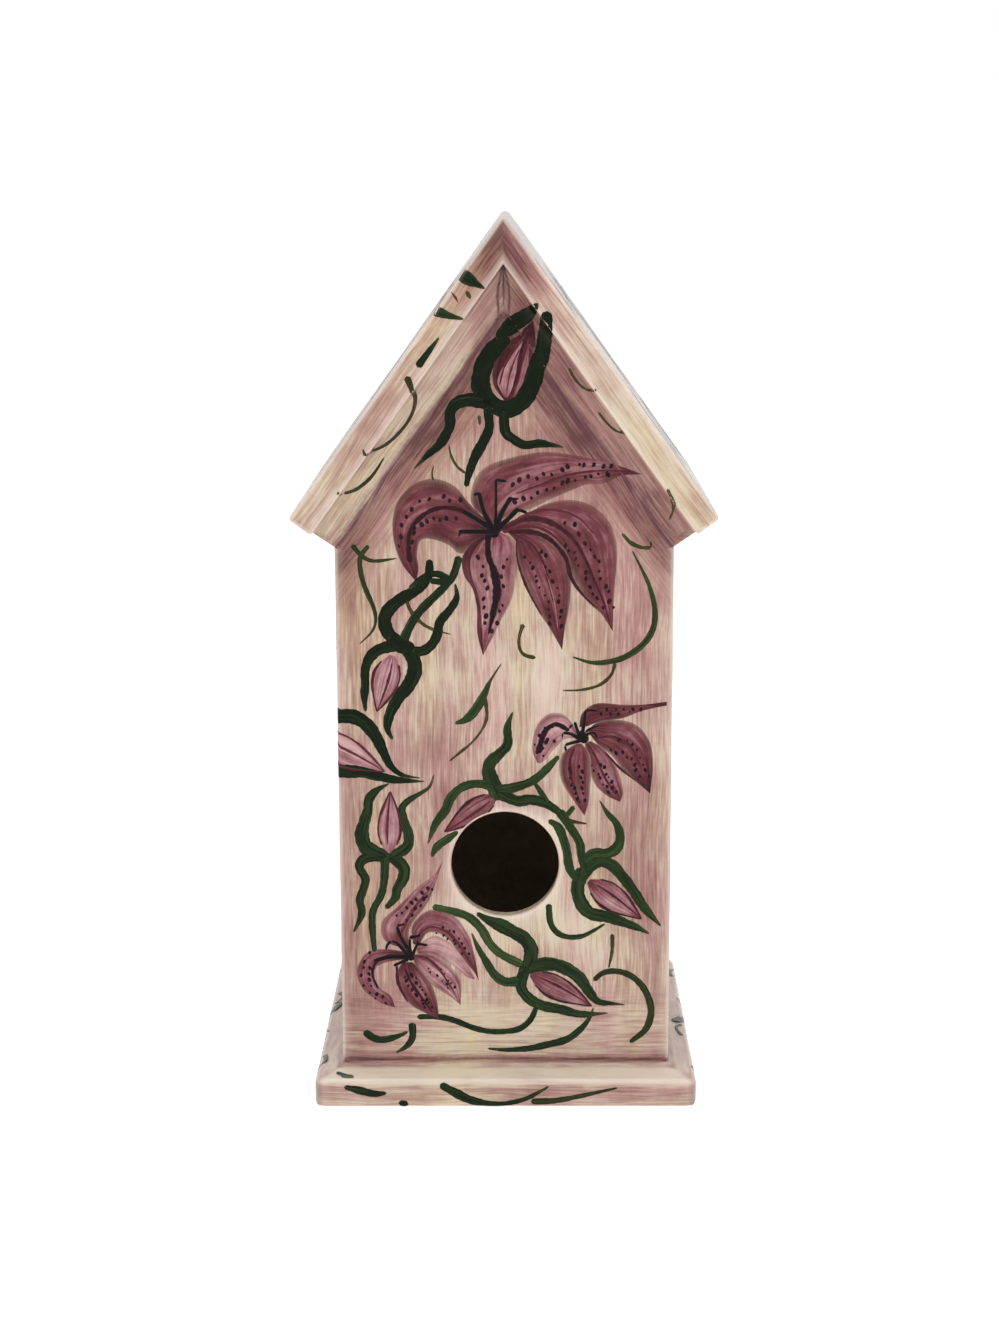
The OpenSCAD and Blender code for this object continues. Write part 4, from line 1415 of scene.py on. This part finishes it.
def star_vine(art):
    """Vine over the entry hole: a star of leaves, a small bud and stems down to the right."""
    bud_body(art, (-3, 112.5), (-21.5, 99), 9, tone=0.38, dark=0.5)
    art.leaf([5.4, 4.8, 3.8, 3, 2.6, 0.5], (-2.5, 113), (-5.3, 119.5), (-5.2, 124), (-1.8, 127.5), (1, 131),
             (1, 137), (2.8, 142.5), tone=0.34)
    art.leaf([3.4, 2.6, 2.6, 3, 2.4, 0.4], (-2, 115), (-9, 116.6), (-15, 115.3), (-19, 111.5), (-21, 107),
             (-24.5, 102), (-27.3, 94.6), tone=0.4)
    art.leaf([1.2, 2.4, 2.6, 0.8], (-16.5, 99.3), (-20, 96.7), (-24, 93.7), (-26, 89.8), tone=0.42)
    art.leaf([4.6, 3, 2.6, 2.6, 1.2], (-2, 114), (6, 116), (11, 118.5), (15, 122.3), (19, 126.7), tone=0.42)
    art.leaf([1.2, 1.8, 1.8], (10, 117.3), (12, 114.5), (14.5, 110.5), tone=0.42)
    art.leaf([4.2, 3.4, 3.4, 2.6, 1.4, 0.5], (-1, 113), (4, 110.4), (9, 110.8), (14, 109.6), (19, 106.3),
             (22.5, 103.3), (29, 102), tone=0.3)
    art.leaf([1.4, 1.8, 1.4], (24, 108), (22.5, 106), (21, 104.5), tone=0.4)
    art.leaf([1.4, 3, 2.6, 2.8, 2.6, 3], (15.8, 103), (18.6, 101), (20.4, 97), (21.8, 92), (22.4, 87.5),
             (24, 83.5), (27.5, 81), tone=0.42)
    art.leaf([2.8, 2.6, 2.6, 2.8], (19.5, 106), (23.5, 100), (26.3, 95), (27, 90), (28.8, 85), tone=0.4)
    art.leaf([0.4, 1.8, 2.6, 3.4, 3.4, 3], (33.2, 110.6), (36, 106), (39.3, 102), (40.6, 97), (39.3, 93),
             (35.5, 91), (31, 91), (28, 88.5), tone=0.4)


def right_bud(art):
    """Bud pointing down to the right of the entry hole."""
    bud_body(art, (29.5, 81), (48.5, 67), 11, tone=0.36, dark=0.55)
    art.leaf([4.4, 4, 3.6, 3.2, 3, 0.6], (26.5, 82.5), (32, 88), (37.5, 87), (42, 82), (46, 76.5),
             (49.5, 71), (55.3, 64.3), tone=0.34)
    art.leaf([4.4, 4, 4.2, 4, 3.4, 2.6, 0.6], (27, 84), (25.7, 79), (26.7, 73.5), (30, 69.3), (36, 67.8),
             (42, 65.8), (47, 63.8), (51.3, 61.5), tone=0.34)
    art.leaf([2, 1.9, 1.6, 0.7], (15.5, 71.8), (16, 66), (18.2, 62.2), (22, 60.4), (27, 60.6), (31, 62.5),
             (35.5, 65.3), tone=0.35)
    art.tendril([1.2, 1.1, 0.5], (38, 61), (38, 55), (36.8, 48.6))
    art.leaf([1.6, 1.9, 2, 2.2, 2.2, 1.4], (32, 44.5), (35, 47), (40, 47.5), (45, 45.7), (49.2, 41.5),
             (51.6, 36), (52, 31), (50, 25.5), (45, 21.2), tone=0.3, thin=0.2)


def low_bud(art):
    """Bud at the lower middle with stems from the left."""
    bud_body(art, (9, 46.5), (31, 34.5), 10, tone=0.45, dark=0.55)
    art.leaf([1.6, 4.4, 4.2, 4.4, 4], (-9.5, 69), (-4, 66), (2, 62.7), (7, 59.5), (9.2, 55), (8, 49.5),
             tone=0.34)
    art.leaf([2, 2.6, 2.8, 2.6, 2.8], (-25, 71.4), (-19, 70), (-13, 67.8), (-8.5, 63.3), (-5.5, 58),
             (-1.5, 54), (5, 50.5), tone=0.5)
    art.leaf([0.5, 1.8, 2.6, 3, 3.2], (-12, 62), (-10, 57), (-7, 51.5), (-4, 46.5), (0, 43.7), (4.5, 44),
             tone=0.42)
    art.leaf([3.6, 4.6, 4.2, 4, 3.2, 1.8, 0.3], (6.5, 48.5), (14, 50.2), (20, 49.3), (26, 45.5), (29.8, 40),
             (33, 36.3), (38, 35.5), (42.8, 35), tone=0.34)
    art.leaf([4, 3.4, 3.4, 3.2, 2.2, 0.3], (7, 48), (5.5, 42.5), (8, 37.8), (13, 34.8), (20, 33.2),
             (27, 31.5), (36.8, 31.9), tone=0.34)


def loose_strokes(art):
    """Free leaves and tendrils between the flowers."""
    art.leaf([1, 3, 2.6, 0.8, 0.3], (-17.5, 138.3), (-13.5, 139.8), (-10, 143.5), (-7, 149), (-5, 153.5),
             (-1, 159.8), tone=0.4)
    art.tendril([1.4, 1, 0.8, 0.6, 0.9, 0.5], (-7, 147.5), (-6.2, 142), (-7, 138), (-9, 134.5), (-12, 131),
                (-15, 128.5), (-19.5, 124.7))
    art.tendril([1.4, 0.8, 1, 1.2], (6.3, 173), (5.1, 169), (5.3, 165), (7, 162.7), (10.3, 161.8))
    art.leaf([0.4, 1.1, 1.6, 1.9, 1.9, 1.6, 0.4], (44, 199.3), (47, 193.5), (50, 187), (52, 179),
             (51.5, 172), (48, 166.3), (42, 162), (36, 160.2), (30, 160), (23.5, 162), tone=0.4, thin=0.25)
    art.tendril([0.9, 1, 0.8, 0.3], (38.5, 160), (37, 155.5), (33, 152), (27, 150.3), (20, 150))
    art.tendril([0.9, 1.2, 1], (40.5, 205.3), (43.5, 202), (47.5, 200.3), (50.7, 200.4))
    art.tendril([0.6, 0.9], (50.6, 200.2), (50.5, 201.6), (50.2, 202.6))
    art.leaf([1.6, 1.3, 1.1, 0.4], (-52, 201), (-50, 198.5), (-47.5, 196.5), (-44, 195.8), (-37, 196.7),
             tone=0.3)
    art.leaf([1.4, 1.6, 1.6, 1, 0.3], (-47, 200.8), (-49.5, 197.5), (-49.7, 193), (-48.3, 187),
             (-45.3, 179.5), (-44.6, 175), (-46, 171), (-50.5, 166.5), tone=0.35, thin=0.3)
    art.leaf([1.6, 2, 1.9, 1.8, 2, 1.6], (-31, 30.5), (-24, 30.5), (-18, 29), (-12, 26.5), (-6, 25),
             (0, 25), (5, 26), (9, 29.5), (11, 34), tone=0.3)
    art.leaf([0.7, 1.6, 2.2, 2.4, 2, 0.5], (-6.5, 18.5), (0, 18), (8, 18.5), (15, 20), (22, 22), (27, 26),
             (30, 30), (31.5, 34), tone=0.3)
    art.leaf([2.4, 2.4, 2, 0.8], (-50, 24.5), (-47, 22.4), (-43, 22), (-38, 23.5), (-35, 25), tone=0.25)
    art.leaf([2.4, 2.2, 1.8, 0.5], (-33.5, 27.3), (-33.4, 23), (-35.5, 19.5), (-39.5, 16.9), tone=0.28)


def rake_strokes(art):
    """Strokes on the fascia and cove of both rakes, seen on the gable."""
    art.leaf([4.5, 3.4, 0.4], (-13.6, 293.8), (-10.5, 291.8), (-6, 289.2), tone=0.2)
    art.leaf([3.6, 2.2, 0.4], (-22.2, 282), (-18.5, 280.6), (-13, 279.2), tone=0.3)
    art.petal(0.6, [(-17.5, 288.5), (-16.5, 286.5), (-15, 284.6)],
              [(-16.6, 287.8), (-15.3, 286.4), (-15, 284.6)])
    art.tendril([1.4, 0.8], (-12, 288), (-11.3, 286.8), (-10.9, 285.8))
    art.leaf([0.5, 1.8, 2.2], (-21.3, 273.4), (-24.6, 269), (-28.2, 264.2), tone=0.15)
    art.leaf([2.2, 1.2, 1, 1, 1.1, 0.7], (-32, 259.5), (-30.4, 255), (-30, 251), (-31.5, 246), (-35, 241),
             (-40, 236.5), (-46.3, 233.7), tone=0.2, thin=0.5)
    art.tendril([0.9, 0.6], (-46.3, 233.6), (-47, 235), (-47.2, 236.3))
    art.leaf([0.4, 0.9, 1.3, 1.4, 1], (-40.7, 232), (-45, 225.6), (-50, 221.3), (-54.6, 219.9), tone=0.2,
             thin=0.5)
    art.tendril([1, 0.6], (-54.6, 219.9), (-55.6, 220.6), (-56, 221.8))
    art.tendril([1.1, 0.9, 0.8, 0.6], (22, 262.3), (24, 258.5), (27, 255.5), (29.5, 254.8), (31, 256))
    art.tendril([0.6, 0.8, 0.6], (32, 247.3), (35, 243.5), (38, 241), (41, 240.2))
    art.tendril([0.7, 0.9, 0.8, 0.5], (55, 222.5), (57, 218), (57.7, 214), (56.5, 210))


def wandering_vine(art):
    """A wavy stem with side leaves, from (0, 0) upward."""
    stem = [(6 * math.sin(t * 4.2), t * 70) for t in np.linspace(0, 1, 9)]
    art.leaf([1, 2.4, 2.6, 2, 0.5], *stem, tone=0.35)
    for i, (x, z) in enumerate(stem[1:-1]):
        side = 1 if i % 2 else -1
        art.leaf([1, 2.8, 0.4], (x, z), (x + side * 5, z + 3), (x + side * 9, z + 9), tone=0.4)
        if i % 3 == 1:
            curl = (x - side * 5, z + 1), (x - side * 9, z - 4), (x - side * 14, z - 4)
            art.tendril([0.9, 0.8, 0.3], (x, z), *curl)


def paint_front(art):
    """Everything on the front, from the gable down."""
    for motif in (large_lily, small_lily, pale_lily, gable_bud, stem_knot, hanging_bud, edge_bud, left_bud,
                  star_vine, right_bud, low_bud, loose_strokes, rake_strokes):
        motif(art)


def paint_sides(art):
    """Left, right and back walls: the same flowers and buds, turned and moved about."""
    quarter = 2 * HALF
    for middle, flip in ((-quarter, False), (quarter, True), (2 * quarter, False)):
        def at(x, z, turn=0, size=1.0, origin=(0, 0), mirror=flip):
            return art.at(Place((middle + x, z), turn, size, mirror, origin))
        large_lily(at(6 if flip else -8, 150, 20, 1.0, (-4, 207)))
        pale_lily(at(-26 if flip else 24, 62, -15, 1.0, (-34, 54)))
        hanging_bud(at(30 if flip else -30, 112, 12, 1.0, (-40, 160)))
        left_bud(at(-36, 120 if flip else 108, -14, 1.0, (-42, 92), not flip))
        low_bud(at(2, 34, 8, 0.95, (9, 46)))
        wandering_vine(at(-34 if flip else 36, 128, -8))
        wandering_vine(at(26 if flip else -40, 22, 14, 0.8))
    gable_bud(art.at(Place((2 * quarter, 262), 0, 1.0, True, (0, 262))))


def paint_roof(art, sign):
    """One roof slope: two lilies, three buds, one of them cut by the front edge, and vines."""
    def at(y, s, turn=0, size=1.0, origin=(0, 0), mirror=False):
        return art.at(Place((y, s), turn + 180, size, mirror, origin))
    large_lily(at(12, 52, 14 * sign, 0.95, (-4, 200), sign > 0))
    hanging_bud(at(-66, 30, 70, 1.1, (-40, 158)))
    left_bud(at(-46, 92, 30, 1.0, (-42, 92), sign > 0))
    small_lily(at(50, 100, -12, 0.9, (26, 128), sign < 0))
    low_bud(at(-6, 102, 24, 0.9, (9, 46), sign < 0))
    wandering_vine(at(66, 62, 8, 0.8))
    wandering_vine(at(-32, 44, -60, 0.5))


def paint_base_front(art):
    """Short leaves and arcs along the front of the base, as (along it, out and down from the wall)."""
    art.leaf([1.4, 2.6, 2.4, 1], (-57, 8.6), (-52, 9.8), (-47, 11), (-42.4, 10.8), tone=0.25)
    art.leaf([2, 2.2], (-37.4, 14.6), (-35.6, 14.9), tone=0.2)
    art.leaf([2.2, 3, 2.6, 1.8, 1.6, 1.4, 0.6], (-22.5, 8), (-18, 10.6), (-13, 13.2), (-7, 14.7), (0, 14.8),
             (7, 13), (12, 10.4), (15.5, 8.2), tone=0.25)
    art.leaf([2.2, 1.8, 1.4, 0.6], (10, 14), (18, 13.6), (28, 11.6), (40, 8.8), tone=0.3, thin=0.3)
    art.leaf([1.4, 0.6], (-60, 3.2), (-57, 4.6), (-54, 4.8), tone=0.2)


def paint_base_side(art):
    """Short leaves and arcs along another side of the base."""
    art.leaf([1.4, 2.6, 2.4, 1], (-55, 6), (-50, 9), (-44, 9.8), (-38, 8.2), tone=0.25)
    art.leaf([2.2, 1.8, 0.6], (-33, 14), (-27, 13.2), (-20, 9.5), tone=0.3)
    art.leaf([2.4, 2.8, 2.2, 1.4, 0.6], (-10, 3), (-4, 6.5), (3, 8.6), (11, 8.2), (19, 5), tone=0.22)
    art.leaf([0.8, 2, 2, 1], (22, 11), (29, 13.8), (37, 13.2), (43, 9.5), tone=0.3)
    art.tendril([0.9, 0.8, 0.4], (-24, 4.5), (-17, 3.2), (-12, 5.2))
    art.tendril([0.9, 0.8, 0.4], (44, 5), (50, 4.4), (56, 7))


def make_paint(name, art, paints):
    """Build one Art's meshes; each is a thin film of paint on the house."""
    films = (("leaves", art.leaves), ("petals", art.petals), ("lines", art.lines))
    for (kind, film), paint in zip(films, paints):
        if film.shape.count:
            film.shape.build(f"{name}_{kind}", paint, "house", "wall_glaze")


def make_pools_and_shade(material):
    """Dark glaze pooled where the walls meet the coves and the base, and painted shade there."""
    pool_and_shade = Paint()
    for side in (-1, 1):
        under_cove = SLAB_T + COVE_DROP + 0.6
        line = [(side * x, APEX_Z - x * TAN - under_cove / COS) for x in np.linspace(1.5, HALF - 1.5, 12)]
        pool_and_shade.stroke(walls, HERE, [4, 5, 5], line, tone=0.55, layer=-1, ribs=WIDE_RIBS, hand=0.2)
        drip = ((0.2, SLAB_T + 0.8), (1.4, 13), (2, 16), (1.8, 20), (3.5, 24))
        line = [(side * x, APEX_Z - u / COS) for x, u in drip]
        pool_and_shade.stroke(walls, HERE, [0.8, 1.4, 1.3, 0.8], line, tone=0.8, ribs=WIDE_RIBS, hand=0.2)
    for turn in range(4):
        start = turn * 2 * HALF - HALF + 1
        line = [(start + t, FOOT_Z - 0.6) for t in np.linspace(0, 2 * HALF - 2, 14)]
        pool_and_shade.stroke(walls, HERE, [2.6], line, tone=0.6, layer=-1, ribs=WIDE_RIBS, hand=0.3)
    pool_and_shade.shape.build("pooled_glaze_and_shade", material, "house", "wall_glaze")


# ---------------------------------------------------------------- studio
# the camera, fitted to the photograph's viewing angle: millimetres and radians
EYE = np.array([4.7, -886.2, 329.0])
EYE_PITCH, EYE_YAW, EYE_ROLL = 0.2030, 0.0078, -0.0032
LENS, SENSOR = 65.65, 36.0
FLOOR_REACH, FLOOR_COLOUR, FLOOR_GLOW = 30.0, (0.93, 0.93, 0.925, 1), 0.55
ROOM_FRONT, ROOM_BACK = 0.16, 0.8
WHITE = (1, 1, 1, 1)

# soft lights: name, place, aim and size in metres, power in watts
LIGHTS = (
    ("key", (0.60, -1.1, 1.00), (0, 0, 0.15), (0.8, 0.8), 4.75),
    ("fill", (-0.9, -1.0, 0.6), (0, 0, 0.15), (0.9, 0.9), 2.6),
    ("top", (0.0, -0.35, 1.5), (0, 0, 0.1), (1.2, 1.2), 8.2),
    ("strip", (0.0, -0.8, 1.3), (0, 0, 0.05), (1.8, 0.3), 2.6),
)


def make_camera():
    """Camera at the viewing angle of the photograph."""
    data = bpy.data.cameras.new("view")
    data.sensor_fit = "VERTICAL"
    data.sensor_height = SENSOR
    data.lens = LENS
    data.clip_start = 0.05
    camera = bpy.data.objects.new("view", data)
    turn = Matrix.Rotation(EYE_YAW, 4, "Z") @ Matrix.Rotation(math.pi / 2 - EYE_PITCH, 4, "X")
    camera.matrix_world = Matrix.Translation(EYE * MM) @ turn @ Matrix.Rotation(EYE_ROLL, 4, "Z")
    bpy.context.scene.collection.objects.link(camera)
    bpy.context.scene.camera = camera


def make_light(name, place, aim, size, power):
    """A soft rectangular light that points at aim."""
    data = bpy.data.lights.new(name, "AREA")
    data.shape = "RECTANGLE"
    data.size, data.size_y = size
    data.energy = power
    light = bpy.data.objects.new(name, data)
    light.location = place
    light.rotation_euler = (Vector(aim) - Vector(place)).to_track_quat("-Z", "Y").to_euler()
    bpy.context.scene.collection.objects.link(light)


def make_floor():
    """Pale floor that doesn't show in the glaze."""
    mesh = bpy.data.meshes.new("floor")
    square = [(x * FLOOR_REACH, y * FLOOR_REACH, 0) for x, y in ((-1, -1), (1, -1), (1, 1), (-1, 1))]
    mesh.from_pydata(square, [], [(0, 1, 2, 3)])
    floor = bpy.data.objects.new("floor", mesh)
    bpy.context.scene.collection.objects.link(floor)
    paper = Surface("floor_paper")
    looks = {"Base Color": FLOOR_COLOUR, "Roughness": 0.9, "Specular IOR Level": 0.1,
             "Emission Color": WHITE, "Emission Strength": FLOOR_GLOW}
    for name, value in looks.items():
        paper.shader.inputs[name].default_value = value
    floor.visible_glossy = False
    mesh.materials.append(paper.material)


def make_world():
    """White surroundings for the camera, which light the object dimly in front and more behind."""
    world = bpy.data.worlds.new("studio")
    world.use_nodes = True
    nodes = Nodes(world.node_tree)
    direction = nodes.add("ShaderNodeTexCoord").outputs["Generated"]
    room = nodes.calc("MULTIPLY", nodes.plus(nodes.parts(direction)["Y"], 0.35), 1.6, clamp=True)
    glow = nodes.plus(ROOM_FRONT, nodes.times(room, ROOM_BACK - ROOM_FRONT))
    seen = nodes.add("ShaderNodeLightPath").outputs["Is Camera Ray"]
    background = nodes.tree.nodes["Background"]
    nodes.tree.links.new(nodes.calc("MAXIMUM", glow, seen), background.inputs["Strength"])
    background.inputs["Color"].default_value = WHITE
    bpy.context.scene.world = world


def make_studio():
    """Pale floor, white surroundings and four soft lights."""
    make_floor()
    make_world()
    for light in LIGHTS:
        make_light(*light)
    bpy.context.scene.view_settings.view_transform = "Standard"


# ---------------------------------------------------------------- the whole scene
make_camera()
make_studio()
wall_glaze = glazed("wall_glaze", ground, "upright")
slope_glaze = {}
for sign, name in SIDES:
    slope_glaze[sign] = glazed("roof_glaze_" + name, ground, name + " slope", ROOF_RIPPLE)
level_glaze = glazed("base_glaze", ground, "level")
inside = inside_clay()
make_walls(wall_glaze, inside)
make_roof(slope_glaze, level_glaze)
make_base(level_glaze, inside)
make_stopper(rubber_material())
make_pools_and_shade(glazed("pooled_glaze_and_shade", pool_and_shade_colour, "upright"))

looks = (("leaf_paint", leaf_colour), ("petal_paint", petal_colour), ("line_paint", line_colour))
paints = [glazed(name, colour_of, "upright") for name, colour_of in looks]
for name, painter, canvas in (("front", paint_front, front_face), ("sides", paint_sides, plain_walls)):
    art = Art(canvas)
    painter(art)
    make_paint(name, art, paints)
for sign, name in SIDES:
    art = Art(slope_canvas(sign), film=0.3)
    paint_roof(art, sign)
    make_paint(name + "_roof", art, paints)
for side, name in enumerate(("front", "right", "back", "left")):
    art = Art(base_canvas(side))
    painter = paint_base_side if side else paint_base_front
    painter(art)
    make_paint("base_" + name, art, paints)
